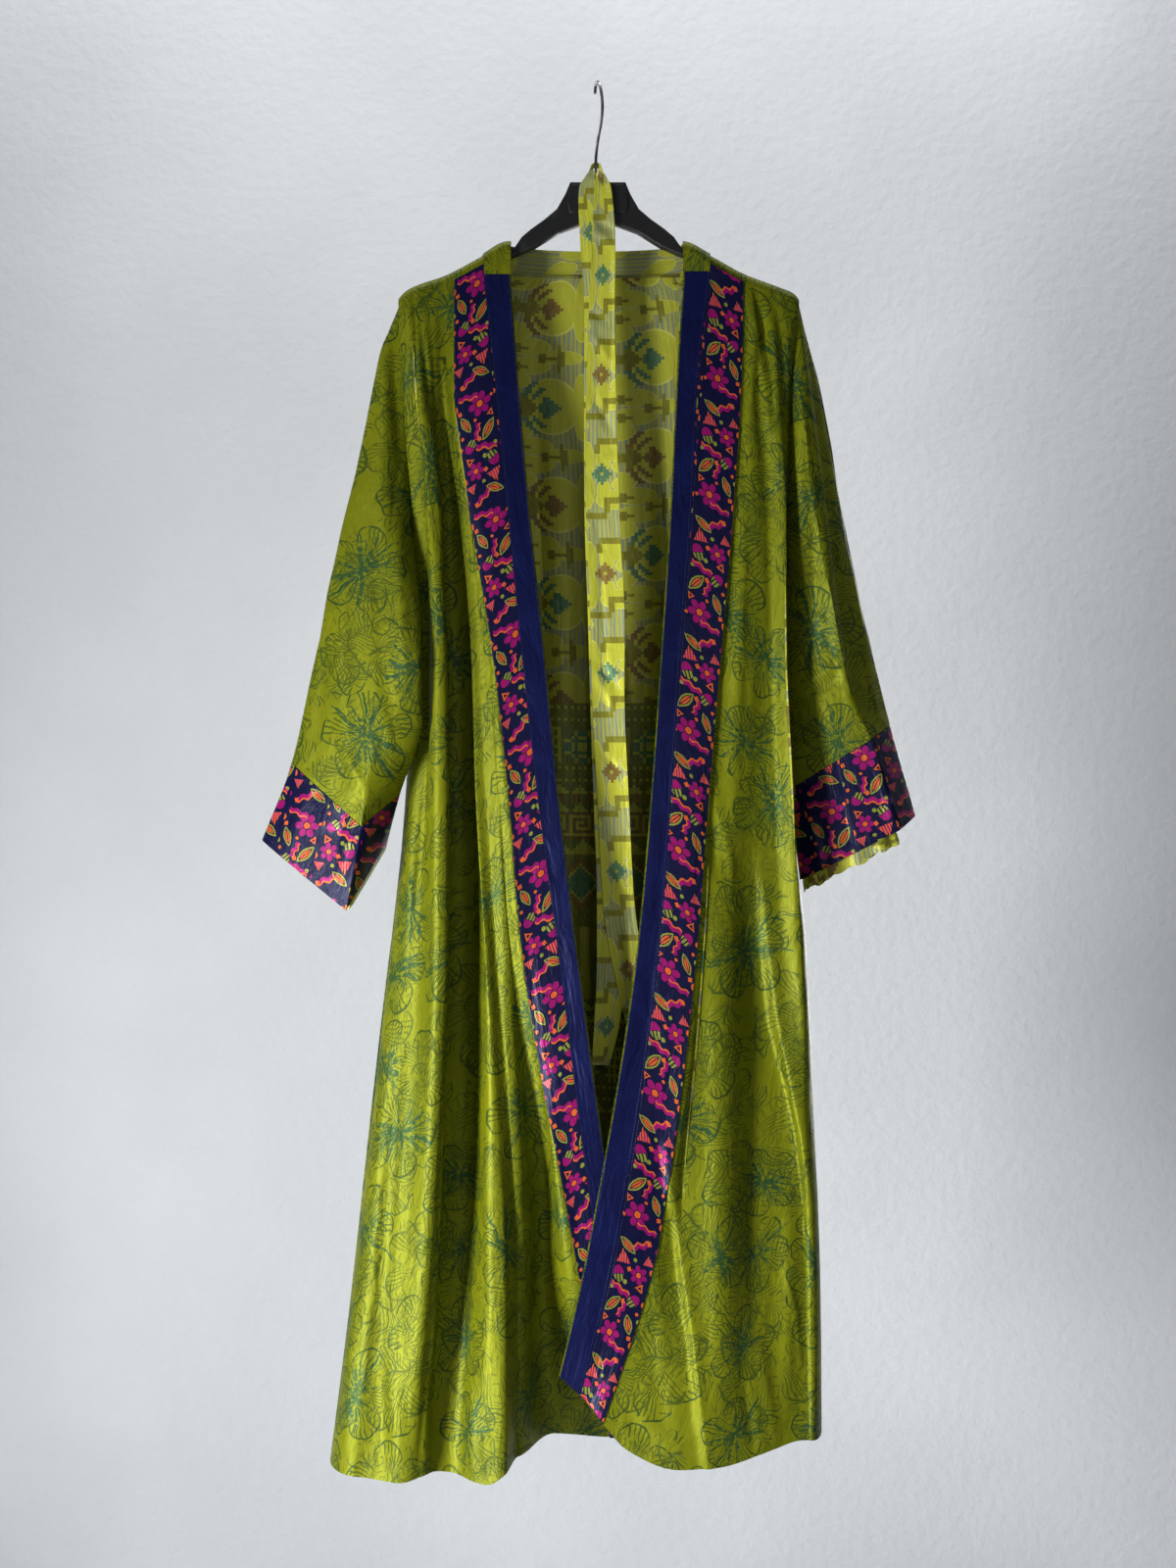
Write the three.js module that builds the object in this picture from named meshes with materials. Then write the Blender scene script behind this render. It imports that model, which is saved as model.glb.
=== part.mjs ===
// Kimono robe on a hanger: a long lined silk robe with navy neck bands and
// printed borders, hung open on a black moulded hanger with its own belt
// over the hook. Millimetres, +Z up, +Y to the back of the robe, +X to the
// left-hand side of its wearer. The origin is the crest inside the hook.
import * as THREE from 'three';

const WALL = 1.6;          // silk and lining, sewn as one wall
const BAND = 1.1;          // one folded band of silk
const LINING = 1.0;
const SEAM = 0.3;          // gap between pieces at a seam
const BELT_WIDTH = 36;
const BELT_WALL = 1.8;
const HANGER_DEEP = 12;    // front to back of the moulded hanger
const WIRE = 3.2;          // diameter of the hook's wire
const SHOULDER_DROP = 12;  // height of the curve where cloth turns over an arm
const NECK_MIDDLE = -3.5;  // X of the neck's centre line
const NECK_HALF = 91.5;    // from there to the neck points

// Colours of the pieces.
const silkGreen = () => new THREE.MeshStandardMaterial({ color: 0x959f22, roughness: 0.42 });
const silkNavy = () => new THREE.MeshStandardMaterial({ color: 0x14194f, roughness: 0.4 });
const silkPrint = () => new THREE.MeshStandardMaterial({ color: 0x8a1f6e, roughness: 0.4 });
const silkLining = () => new THREE.MeshStandardMaterial({ color: 0xa9a92c, roughness: 0.5 });
const blackPlastic = () => new THREE.MeshStandardMaterial({ color: 0x151518, roughness: 0.38 });
const steel = () => new THREE.MeshStandardMaterial({ color: 0x7c7e82, roughness: 0.35, metalness: 1 });

const kimono = new THREE.Group();

// ---------------------------------------------------------------- tables

// Smooth value at `at` in a column of knots, which may rise or fall. It never
// passes the values on either side, so cloth that meets at a seam stays there.
function smooth(knots, values, at) {
  const last = knots.length - 2, down = knots[0] > knots[1] ? -1 : 1;
  let i = 0;
  while (i < last && (at - knots[i + 1]) * down > 0) i++;
  const grade = (k) => (values[k + 1] - values[k]) / (knots[k + 1] - knots[k]);
  const slope = (k) => {
    if (k === 0) return grade(0);
    if (k > last) return grade(last);
    const a = grade(k - 1), b = grade(k);
    return a * b <= 0 ? 0 : (2 * a * b) / (a + b);
  };
  const span = knots[i + 1] - knots[i], t = (at - knots[i]) / span;
  if (t < 0) return values[i] + slope(i) * span * t;
  if (t > 1) return values[i + 1] + slope(i + 1) * span * (t - 1);
  const t2 = t * t, t3 = t2 * t;
  return values[i] * (2 * t3 - 3 * t2 + 1) + values[i + 1] * (3 * t2 - 2 * t3)
    + span * (slope(i) * (t3 - 2 * t2 + t) + slope(i + 1) * (t3 - t2));
}

// The line that the cloth follows over the hanger's arms, from cuff to cuff.
const SHOULDER = {
  x: [-215, -211, -198, -160, -124, -95, 88, 116, 153, 190, 204, 211, 214],
  z: [-238, -227, -215, -201, -182, -167, -167, -180, -200, -214, -220, -229, -242],
};
const shoulder = (x) => smooth(SHOULDER.x, SHOULDER.z, x);

// Heights at which the tables of folds are given.
const HEIGHTS = [-210, -300, -450, -600, -750, -900, -1200, -1430];

// Each front is drawn between lines that run from shoulder to hem: its side
// seam, the crests and feet of its folds, and the edges of its bands. `steps`
// is the number of columns from a line to the next.
const LEFT_FRONT = [
  { line: 'side', steps: 4,
    x: [-211, -206, -199, -197, -203, -218, -251, -280], y: [-11, -11, -9, 0, 0, 0, 0, 0] },
  { line: 'turn of the side', steps: 2,
    x: [-196, -190, -180, -176, -182, -196, -222, -246], y: [-12, -17, -22, -25, -29, -34, -46, -58] },
  { line: 'outer fold, crest', steps: 1,
    x: [-188, -186, -175, -164, -162, -162, -175, -192], y: [-12, -21, -32, -42, -50, -56, -66, -74] },
  { line: 'outer fold, edge', steps: 2,
    x: [-182, -179, -168, -156, -154, -154, -165, -181], y: [-12, -20, -30, -39, -46, -52, -62, -71] },
  { line: 'valley', steps: 3,
    x: [-172, -171, -159, -148, -145, -143, -152, -164], y: [-12, -18, -22, -27, -31, -35, -44, -60] },
  { line: 'inner fold, crest', steps: 2,
    x: [-162, -160, -146, -133, -127, -118, -99, -96], y: [-12, -18, -25, -34, -42, -50, -68, -88] },
  { line: 'inner fold, foot', steps: 2,
    x: [-156, -155, -140, -124, -116, -106, -86, -84], y: [-12, -18, -25, -32, -37, -41, -50, -48] },
  { line: 'hollow at the hem', steps: 2,
    x: [-153, -153, -137, -117, -104, -92, -58, -46], y: [-12, -18, -26, -33, -38, -42, -34, 12] },
  { line: 'border', steps: 2,
    x: [-151, -151, -134, -110, -93, -80, -28, 13], y: [-12, -18, -27, -36, -44, -51, -52, 4] },
  { line: 'band', steps: 2,
    x: [-120, -110, -95, -80, -63, -43, -4, 37], y: [-12, -17, -27, -37, -46, -53, -54, 0] },
  { line: 'edge', steps: 0,
    x: [-92, -85, -72, -56, -41, -23, 19, 64], y: [-12, -16, -26, -37, -47, -55, -54, -6] },
];
const RIGHT_FRONT = [
  { line: 'side', steps: 4,
    x: [212, 203, 196, 189, 195, 216, 228, 233], y: [-11, -11, -9, 0, 0, 0, 0, 0] },
  { line: 'ridge over the sleeve', steps: 2,
    x: [190, 179, 187, 191, 198, 205, 211, 216], y: [-12, -24, -36, -46, -52, -54, -58, -66] },
  { line: 'foot of the ridge', steps: 3,
    x: [177, 167, 173, 175, 180, 184, 190, 200], y: [-12, -17, -27, -35, -42, -47, -56, -66] },
  { line: 'broad fold', steps: 3,
    x: [165, 160, 155, 148, 142, 140, 146, 158], y: [-12, -20, -32, -43, -52, -58, -68, -76] },
  { line: 'crease', steps: 2,
    x: [154, 152, 143, 130, 117, 106, 84, 105], y: [-12, -18, -29, -38, -46, -52, -62, -80] },
  { line: 'border', steps: 2,
    x: [151, 149, 139, 126, 112, 100, 61, -10], y: [-12, -18, -30, -40, -48, -55, -68, -64] },
  { line: 'band', steps: 2,
    x: [116, 104, 96, 84, 74, 62, 18, -36], y: [-12, -18, -30, -41, -50, -58, -71, -50] },
  { line: 'edge', steps: 0,
    x: [88, 82, 74, 64, 53, 39, -10, -62], y: [-12, -17, -30, -42, -52, -61, -72, -44] },
];
const BACK = [
  { line: 'left side', steps: 3,
    x: [-211, -206, -199, -197, -203, -218, -251, -280], y: [11, 11, 9, 0, 0, 0, 0, 0] },
  { line: 'left turn', steps: 2,
    x: [-194, -188, -178, -172, -178, -190, -216, -240], y: [12, 18, 26, 32, 36, 40, 50, 56] },
  { line: 'left fold', steps: 2,
    x: [-160, -156, -150, -148, -150, -154, -168, -182], y: [12, 24, 36, 46, 54, 60, 76, 88] },
  { line: 'left valley', steps: 2,
    x: [-124, -122, -116, -112, -110, -110, -112, -116], y: [13, 23, 31, 37, 42, 45, 54, 56] },
  { line: 'left neck', steps: 2,
    x: [-100, -92, -84, -80, -78, -76, -74, -76], y: [19, 26, 37, 45, 51, 56, 68, 80] },
  { line: 'left of the middle', steps: 2,
    x: [-45, -42, -40, -38, -36, -34, -30, -28], y: [22, 27, 35, 42, 46, 49, 54, 54] },
  { line: 'middle pleat', steps: 2,
    x: [-8, -8, -6, -5, -4, -4, -4, -4], y: [22, 29, 40, 49, 55, 60, 70, 78] },
  { line: 'right of the middle', steps: 2,
    x: [38, 36, 36, 36, 36, 36, 38, 40], y: [22, 27, 35, 41, 45, 48, 56, 60] },
  { line: 'right neck', steps: 2,
    x: [93, 86, 80, 78, 78, 80, 84, 88], y: [19, 26, 36, 45, 52, 58, 72, 86] },
  { line: 'right valley', steps: 2,
    x: [118, 118, 114, 112, 112, 114, 122, 130], y: [13, 23, 31, 37, 42, 46, 54, 60] },
  { line: 'right fold', steps: 2,
    x: [156, 154, 150, 148, 148, 154, 168, 176], y: [12, 24, 36, 45, 52, 58, 72, 82] },
  { line: 'right turn', steps: 3,
    x: [194, 186, 176, 166, 170, 190, 205, 210], y: [12, 18, 26, 32, 36, 40, 48, 52] },
  { line: 'right side', steps: 0,
    x: [212, 203, 196, 189, 195, 216, 228, 233], y: [11, 11, 9, 0, 0, 0, 0, 0] },
];

// Hems, from the side seam to the front edge, and the back's from side to side.
const LEFT_HEM = {
  x: [-280, -206, -169, -114, -87, -52, 60],
  z: [-1442, -1446, -1438, -1444, -1428, -1421, -1424],
};
const RIGHT_HEM = {
  x: [233, 210, 177, 122, 78, 28, -5, -45],
  z: [-1406, -1405, -1413, -1428, -1431, -1414, -1374, -1337],
};
const BACK_HEM = {
  x: [-280, -182, -110, -30, 60, 160, 233],
  z: [-1442, -1434, -1428, -1424, -1424, -1418, -1406],
};

const TURN_ROWS = 4;       // rows of a panel over the shoulder's curve
const ROWS = 19;           // and from there to the hem

// ---------------------------------------------------------------- walls

// A closed wall from a grid of points with normals. `lift` moves its outer
// face out from the grid and `thick` is its thickness, measured inwards.
function wall(name, grid, lift, thick, material, ring = false) {
  const rows = grid.length, cols = grid[0].length, points = [], faces = [];
  for (const depth of [lift, lift - thick])
    for (const row of grid)
      for (const { p, n } of row) points.push(p.x + n.x * depth, p.y + n.y * depth, p.z + n.z * depth);
  const at = (side, r, c) => side * rows * cols + r * cols + (c % cols);
  const quad = (a, b, c, d) => faces.push(a, b, c, a, c, d);
  for (let r = 0; r < rows - 1; r++)
    for (let c = 0; c < (ring ? cols : cols - 1); c++) {
      quad(at(0, r, c), at(0, r + 1, c), at(0, r + 1, c + 1), at(0, r, c + 1));
      quad(at(1, r, c), at(1, r, c + 1), at(1, r + 1, c + 1), at(1, r + 1, c));
    }
  for (let c = 0; c < (ring ? cols : cols - 1); c++) {
    quad(at(0, 0, c), at(0, 0, c + 1), at(1, 0, c + 1), at(1, 0, c));
    quad(at(0, rows - 1, c + 1), at(0, rows - 1, c), at(1, rows - 1, c), at(1, rows - 1, c + 1));
  }
  if (!ring)
    for (let r = 0; r < rows - 1; r++) {
      quad(at(0, r + 1, 0), at(0, r, 0), at(1, r, 0), at(1, r + 1, 0));
      quad(at(0, r, cols - 1), at(0, r + 1, cols - 1), at(1, r + 1, cols - 1), at(1, r, cols - 1));
    }
  const geometry = new THREE.BufferGeometry();
  geometry.setAttribute('position', new THREE.Float32BufferAttribute(points, 3));
  geometry.setIndex(faces);
  geometry.computeVertexNormals();
  const mesh = new THREE.Mesh(geometry, material);
  mesh.name = name;
  kimono.add(mesh);
  return mesh;
}

// Points and normals of surface(row, column), which is read a little to each
// side of a point for its normal. Rows run down and columns to the left as
// seen from outside, or `flip` turns the normals over.
function survey(surface, rowsAt, colsAt, flip = 1) {
  const step = 0.02;
  return rowsAt.map((r) => colsAt.map((c) => {
    const down = surface(r + step, c).sub(surface(r - step, c));
    const across = surface(r, c + step).sub(surface(r, c - step));
    return { p: surface(r, c), n: down.cross(across).normalize().multiplyScalar(flip) };
  }));
}
const upTo = (n) => Array.from({ length: n + 1 }, (_, i) => i);

// ---------------------------------------------------------------- body

// A panel's surface at a row and a column: across, it runs from line to line
// of its table; down, it turns over the shoulder and then falls to its hem.
function panel(lines, hem, top, neck = () => 0) {
  const starts = [0];
  for (const { steps } of lines) starts.push(starts[starts.length - 1] + steps);
  const last = lines.length - 2;
  return (row, col) => {
    let k = 0;
    while (k < last && col > starts[k + 1]) k++;
    const t = (col - starts[k]) / lines[k].steps;
    // The cloth turns round the side seams as a quarter of an ellipse.
    const first = k === 0, final = k === last && lines[last + 1].line.endsWith('side');
    const quarter = (Math.PI / 2) * t;
    const along = first ? 1 - Math.cos(quarter) : final ? Math.sin(quarter) : t;
    const out = first ? Math.sin(quarter) : final ? 1 - Math.cos(quarter) : (1 - Math.cos(Math.PI * t)) / 2;
    const mix = (key, share, z) => {
      const a = smooth(HEIGHTS, lines[k][key], z), b = smooth(HEIGHTS, lines[k + 1][key], z);
      return a + (b - a) * share;
    };
    const turn = Math.min(Math.max(row / TURN_ROWS, -0.2), 1) * (Math.PI / 2);
    const fall = Math.max((row - TURN_ROWS) / ROWS, 0);
    const share = fall * (0.6 + 0.4 * fall);
    let x = mix('x', along, HEIGHTS[0] + (HEIGHTS[7] - HEIGHTS[0]) * share), z = 0;
    for (let i = 0; i < 4; i++) {
      const high = top(x);
      z = high - SHOULDER_DROP * (1 - Math.cos(turn));
      z += (smooth(hem.x, hem.z, x) - (high - SHOULDER_DROP)) * share;
      x = mix('x', along, Math.min(z, HEIGHTS[0]));
    }
    const y = mix('y', out, Math.min(z, HEIGHTS[0]));
    return new THREE.Vector3(x, y * Math.max(Math.sin(turn), neck(x)), z);
  };
}
const columns = (lines) => lines.reduce((sum, { steps }) => sum + steps, 0);
// The column at which a named line runs.
const columnOf = (lines, name) => {
  let sum = 0;
  for (const { line, steps } of lines) { if (line === name) return sum; sum += steps; }
  return sum;
};

const ease = (t) => { const s = Math.min(Math.max(t, 0), 1); return s * s * (3 - 2 * s); };
// 1 across the back of the neck and 0 on the shoulders. The cloth first
// leaves the hanger's arm and then drops to the neck seam.
const neckShare = (x) => ease((NECK_HALF + 34 - Math.abs(x - NECK_MIDDLE)) / 22);
const neckDrop = (x) => ease((NECK_HALF + 12 - Math.abs(x - NECK_MIDDLE)) / 14);
const NECK_TOP = -197;     // top of the back panel, under the neck band
const backTop = (x) => {
  const share = neckDrop(x);
  return (shoulder(x) - 3.5 * neckShare(x)) * (1 - share) + NECK_TOP * share;
};

const leftSurface = panel(LEFT_FRONT, LEFT_HEM, shoulder);
const rightSurface = panel(RIGHT_FRONT, RIGHT_HEM, shoulder);
const backSurface = panel(BACK, BACK_HEM, backTop, neckShare);
const rows = upTo(TURN_ROWS + ROWS);
const left = survey(leftSurface, rows, upTo(columns(LEFT_FRONT)), 1);
const right = survey(rightSurface, rows, upTo(columns(RIGHT_FRONT)), -1);
const back = survey(backSurface, rows, upTo(columns(BACK)), -1);

// Every panel starts a seam's half gap behind or before the shoulder's line.
for (const grid of [left, right, back])
  for (const row of grid)
    for (const spot of row) spot.p.y += (grid === back ? 1 : -1) * SEAM / 2;

const reversed = (grid) => grid.map((row) => row.slice().reverse());
wall('front_left', left, 0, WALL, silkGreen());
wall('front_right', reversed(right), 0, WALL, silkGreen());
wall('back', reversed(back), 0, WALL, silkGreen());

// ---------------------------------------------------------------- bands

// The part of a panel's grid from one line to another and from height `from`
// down, drawn in by `inset` at its two long edges.
function strip(grid, first, last, from, inset = [0, 0]) {
  const lie = (a, b, t) => ({ p: a.p.clone().lerp(b.p, t), n: a.n.clone().lerp(b.n, t).normalize() });
  const cut = (c) => {
    let r = 0;
    while (grid[r + 1][c].p.z > from) r++;
    return { r, t: Math.max((grid[r][c].p.z - from) / (grid[r][c].p.z - grid[r + 1][c].p.z), 0) };
  };
  const starts = [];
  for (let c = first; c <= last; c++) starts.push(cut(c));
  const begin = Math.max(...starts.map(({ r, t }) => (t > 0.6 ? r + 1 : r)));
  // Rows down to the first whole one are shared out evenly along each column.
  const short = Math.ceil(2 * (begin + 1 - Math.min(...starts.map(({ r, t }) => r + t))));
  const lines = upTo(short - 1).map((k) => starts.map(({ r, t }, i) => {
    const at = r + t + ((begin + 1 - r - t) * k) / short, low = Math.min(Math.floor(at), grid.length - 2);
    return lie(grid[low][first + i], grid[low + 1][first + i], at - low);
  }));
  for (let r = begin + 1; r < grid.length; r++) lines.push(grid[r].slice(first, last + 1));
  return lines.map((row) => row.map((spot, c) => {
    const end = c === 0 ? 0 : c === row.length - 1 ? 1 : -1;
    if (end < 0 || !inset[end]) return spot;
    const next = row[end ? c - 1 : 1];
    return lie(spot, next, inset[end] / spot.p.distanceTo(next.p));
  }));
}
const LEFT_BAND_TOP = -203;
const RIGHT_BAND_TOP = -200;
const EDGE = 1.4;          // how far the lining's edge shows beside a band
const LIE = 0.45;          // gap under a band that lies on a panel
for (const [side, grid, lines, top, turn] of [
  ['left', left, LEFT_FRONT, LEFT_BAND_TOP, (g) => g],
  ['right', right, RIGHT_FRONT, RIGHT_BAND_TOP, reversed],
]) {
  const at = (name) => columnOf(lines, name);
  const plain = strip(grid, at('band'), at('edge'), top, [SEAM / 2, EDGE]);
  const printed = strip(grid.slice(TURN_ROWS), at('border'), at('band'), 0, [0, SEAM / 2]);
  wall(`band_plain_${side}`, turn(plain), LIE + BAND, BAND, silkNavy());
  wall(`border_print_${side}`, turn(printed), LIE + BAND, BAND, silkPrint());
}

// The back's lining shows through the open front.
const showing = strip(back, columnOf(BACK, 'left valley') + 1, columnOf(BACK, 'right valley') - 1, -199);
wall('back_lining', reversed(showing), -WALL - SEAM, LINING, silkLining());

// The neck band lies over both fronts, turns over the shoulders and stands
// up across the back of the neck. `in` and `out` are its two long edges on
// one half of the back, from the shoulder to the middle, as seen from above.
const NECK = [
  { section: 'over the shoulder', in: [92.5, 7, -164.4], out: [119.8, 10.5, -178.2] },
  { section: 'behind the shoulder', in: [91.5, 14, -165], out: [119, 19.5, -182] },
  { section: 'turn', in: [84, 20, -166.5], out: [107, 25, -198] },
  { section: 'side of the neck', in: [66, 22.5, -168], out: [77, 25.6, -204.5] },
  { section: 'quarter', in: [34, 23.6, -169.5], out: [38, 26, -206] },
];
const NECK_CENTRE = { in: [0, 24, -170], out: [0, 26.2, -206.5] };
const acrossNeck = ({ in: a, out: b }, hand) => [0, 0.5, 1].map((t) => new THREE.Vector3(
  NECK_MIDDLE + hand * (b[0] + (a[0] - b[0]) * t), b[1] + (a[1] - b[1]) * t, b[2] + (a[2] - b[2]) * t));
// One front's share, from the shoulder down to the top of the plain band.
function neckFront(grid, lines, top) {
  const first = columnOf(lines, 'band'), last = columnOf(lines, 'edge');
  const below = strip(grid, first, last, top + SEAM)[0];
  const above = upTo(TURN_ROWS).map((r) => grid[r].slice(first, last + 1));
  const lift = LIE + SEAM + BAND;
  return [...above, below].map((row) => row.map(({ p, n }) => p.clone().addScaledVector(n, lift)));
}
const neckRows = [
  ...neckFront(left, LEFT_FRONT, LEFT_BAND_TOP).reverse(),
  ...NECK.map((row) => acrossNeck(row, -1)),
  acrossNeck(NECK_CENTRE, 1),
  ...NECK.slice().reverse().map((row) => acrossNeck(row, 1)),
  ...neckFront(right, RIGHT_FRONT, RIGHT_BAND_TOP),
];
// Normals of a grid that has no formula, from each point's neighbours.
function faced(grid, flip) {
  const within = (i, list) => list[Math.min(Math.max(i, 0), list.length - 1)];
  const pick = (r, c) => within(c, within(r, grid));
  return grid.map((row, r) => row.map((p, c) => {
    const down = pick(r + 1, c).clone().sub(pick(r - 1, c));
    const across = pick(r, c + 1).clone().sub(pick(r, c - 1));
    return { p, n: down.cross(across).normalize().multiplyScalar(flip) };
  }));
}
wall('neck_band', reversed(faced(neckRows, -1)), 0, BAND, silkGreen());

// ---------------------------------------------------------------- sleeves

// Sections of a sleeve from armhole to cuff. Each is a flattened ring: `top`
// is the fold that carries on from the shoulder, `fold` the crease that runs
// down it and `under` its lower fold. `deep` is half the gap between layers.
const LEFT_SLEEVE = {
  crease: 7,
  sections: [
    { at: 'armhole', top: [-212.3, 0, -231], fold: [-204.4, 0, -380], under: [-199.6, 0, -470], deep: 12.9 },
    { at: 'upper', top: [-229, -3, -285], fold: [-213, -14, -430], under: [-198, -17, -506], deep: 12 },
    { at: 'elbow', top: [-248, -4, -375], fold: [-217, -32, -515], under: [-189, -42, -560], deep: 11 },
    { at: 'forearm', top: [-273, -5, -495], fold: [-224, -42, -605], under: [-182, -56, -618], deep: 11 },
    { at: 'lower', top: [-300, -5, -615], fold: [-232, -48, -690], under: [-181, -53, -668], deep: 11 },
    { at: 'cuff seam', top: [-322, -5, -713], fold: [-243, -50, -779], under: [-207, -24, -747], deep: 11 },
    { at: 'cuff end', top: [-353, -5, -794], fold: [-259, -46, -865], under: [-223, -4, -800], deep: 12 },
  ],
};
const RIGHT_SLEEVE = {
  crease: 4,
  sections: [
    { at: 'armhole', top: [213.4, 0, -233], fold: [205.4, 0, -293], under: [196.2, 0, -470], deep: 12.9 },
    { at: 'upper', top: [226, 3, -290], fold: [212, -15, -350], under: [196.6, -2, -515], deep: 12 },
    { at: 'elbow', top: [243, 5, -380], fold: [221, -20, -430], under: [193.6, -3, -580], deep: 11 },
    { at: 'forearm', top: [266, 6, -495], fold: [239, -24, -540], under: [194.4, -4, -650], deep: 11 },
    { at: 'lower', top: [289, 6, -600], fold: [259, -26, -640], under: [197, -4, -706], deep: 11 },
    { at: 'cuff seam', top: [307, 6, -673], fold: [281, -26, -690], under: [199.6, -3, -741], deep: 11 },
    { at: 'cuff end', top: [334, 6, -768], fold: [311, -26, -783], under: [211, -3, -836], deep: 12 },
  ],
};
const ROUND = 24;          // columns round a sleeve
const CUFF_FROM = 5;       // section where the cuff begins

// A lining that hangs in it takes the share `part` of its width and is `less`
// deep.
function sleeve({ crease, sections }, part = [0, 1], less = 0) {
  const knots = upTo(sections.length - 1);
  const share = (step) => (1 - Math.cos((2 * Math.PI * step) / ROUND)) / 2;
  const corner = share(crease);
  return (row, col) => {
    const value = (pick) => smooth(knots, sections.map(pick), row);
    const point = (key) => new THREE.Vector3(...[0, 1, 2].map((i) => value((section) => section[key][i])));
    const top = point('top'), fold = point('fold'), under = point('under');
    const deep = value((section) => section.deep) - less;
    const about = share(col), open = Math.sqrt(Math.max(1 - (2 * about - 1) ** 4, 0));
    const s = part[0] + (part[1] - part[0]) * about;
    const turns = ((col % ROUND) + ROUND) % ROUND;
    const p = s < corner
      ? top.clone().lerp(fold, s / corner)
      : fold.clone().lerp(under, (s - corner) / (1 - corner));
    p.y += (turns < ROUND / 2 ? -1 : 1) * deep * open;
    return p;
  };
}
for (const [side, table, hand] of [['left', LEFT_SLEEVE, 1], ['right', RIGHT_SLEEVE, -1]]) {
  const around = upTo(ROUND - 1);
  const ring = (from, to, n, ...lining) => {
    const along = upTo(n).map((i) => from + ((to - from) * i) / n);
    const grid = survey(sleeve(table, ...lining), along, around, hand);
    return hand > 0 ? grid : reversed(grid);
  };
  wall(`sleeve_${side}`, ring(0, CUFF_FROM - 0.004, 11), 0, WALL, silkGreen(), true);
  wall(`cuff_${side}`, ring(CUFF_FROM + 0.004, CUFF_FROM + 1, 3), 0, WALL, silkPrint(), true);
  // The lining hangs out a little below the right cuff.
  if (side === 'right') {
    const hanging = ring(5.5, 6.13, 3, [0.27, 0.98], 3.4);
    wall('cuff_lining_right', hanging, 0, LINING, silkLining(), true);
  }
}

// ---------------------------------------------------------------- belt

// The belt hangs folded behind the hook's wire, and both its halves fall in
// front of the hanger's head. `turn` is the angle of its width to +X.
const BELT = [
  { at: 'front end', x: 39, y: -9, z: -983, width: 22, turn: 0 },
  { at: 'front', x: 33, y: -9, z: -941, width: 30, turn: 0 },
  { at: 'front', x: 26, y: -9, z: -900, width: 33, turn: 0 },
  { at: 'front', x: 20, y: -9, z: -850, width: 33, turn: 0 },
  { at: 'front', x: 15, y: -9, z: -750, width: 33, turn: 0 },
  { at: 'front', x: 10, y: -9, z: -650, width: 34, turn: 0 },
  { at: 'front', x: 9, y: -9, z: -560, width: BELT_WIDTH, turn: 0 },
  { at: 'front', x: 4, y: -9, z: -450, width: 35, turn: 0 },
  { at: 'front', x: 2.5, y: -9.6, z: -350, width: 32, turn: 0 },
  { at: 'front', x: 3, y: -10.4, z: -250, width: 28, turn: 0 },
  { at: 'front', x: 5, y: -11.2, z: -160, width: 24, turn: 0 },
  { at: 'over the head', x: 4, y: -11.2, z: -110, width: 17, turn: 0 },
  { at: 'over the head', x: 2.2, y: -10, z: -101, width: 11, turn: 10 },
  { at: 'gathered', x: 0.9, y: -6, z: -94, width: 7, turn: 30 },
  { at: 'beside the wire', x: 1, y: -2, z: -88.5, width: 6, turn: 75 },
  { at: 'behind the wire', x: 0.8, y: 2, z: -85.5, width: 6, turn: 90 },
  { at: 'behind the wire', x: -3, y: 3.9, z: -84, width: 6, turn: 90 },
  { at: 'behind the wire', x: -6.8, y: 2, z: -85.5, width: 6, turn: 90 },
  { at: 'beside the wire', x: -7, y: -1.5, z: -88.5, width: 6, turn: 105 },
  { at: 'gathered', x: -7, y: -5.2, z: -94, width: 7, turn: 150 },
  { at: 'over the head', x: -9.2, y: -7.8, z: -101, width: 11, turn: 170 },
  { at: 'over the head', x: -12, y: -7.7, z: -110, width: 17, turn: 180 },
  { at: 'back', x: -8, y: -7.2, z: -160, width: 24, turn: 180 },
  { at: 'back', x: 0, y: -7, z: -250, width: 30, turn: 180 },
  { at: 'back', x: 1, y: -6.2, z: -350, width: 33, turn: 180 },
  { at: 'back', x: 2, y: -5.6, z: -450, width: 34, turn: 180 },
  { at: 'back', x: 6, y: -5.6, z: -560, width: 35, turn: 180 },
  { at: 'back', x: 8, y: -5.6, z: -650, width: 34, turn: 180 },
  { at: 'back', x: 11, y: -5.6, z: -750, width: 33, turn: 180 },
  { at: 'back', x: 14, y: -5.6, z: -850, width: 32, turn: 180 },
  { at: 'back', x: 13, y: -5.6, z: -930, width: 30, turn: 180 },
  { at: 'back', x: 8, y: -5.6, z: -990, width: 26, turn: 180 },
  { at: 'back end', x: 2, y: -5.6, z: -1030, width: 18, turn: 180 },
];
const beltGrid = BELT.map(({ x, y, z, width, turn }) => [-0.5, 0, 0.5].map((side) => new THREE.Vector3(
  x + side * width * Math.cos((turn * Math.PI) / 180), y,
  z + side * width * Math.sin((turn * Math.PI) / 180))));
wall('belt', faced(beltGrid, 1), BELT_WALL / 2, BELT_WALL, silkLining());

// ---------------------------------------------------------------- hanger

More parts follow.
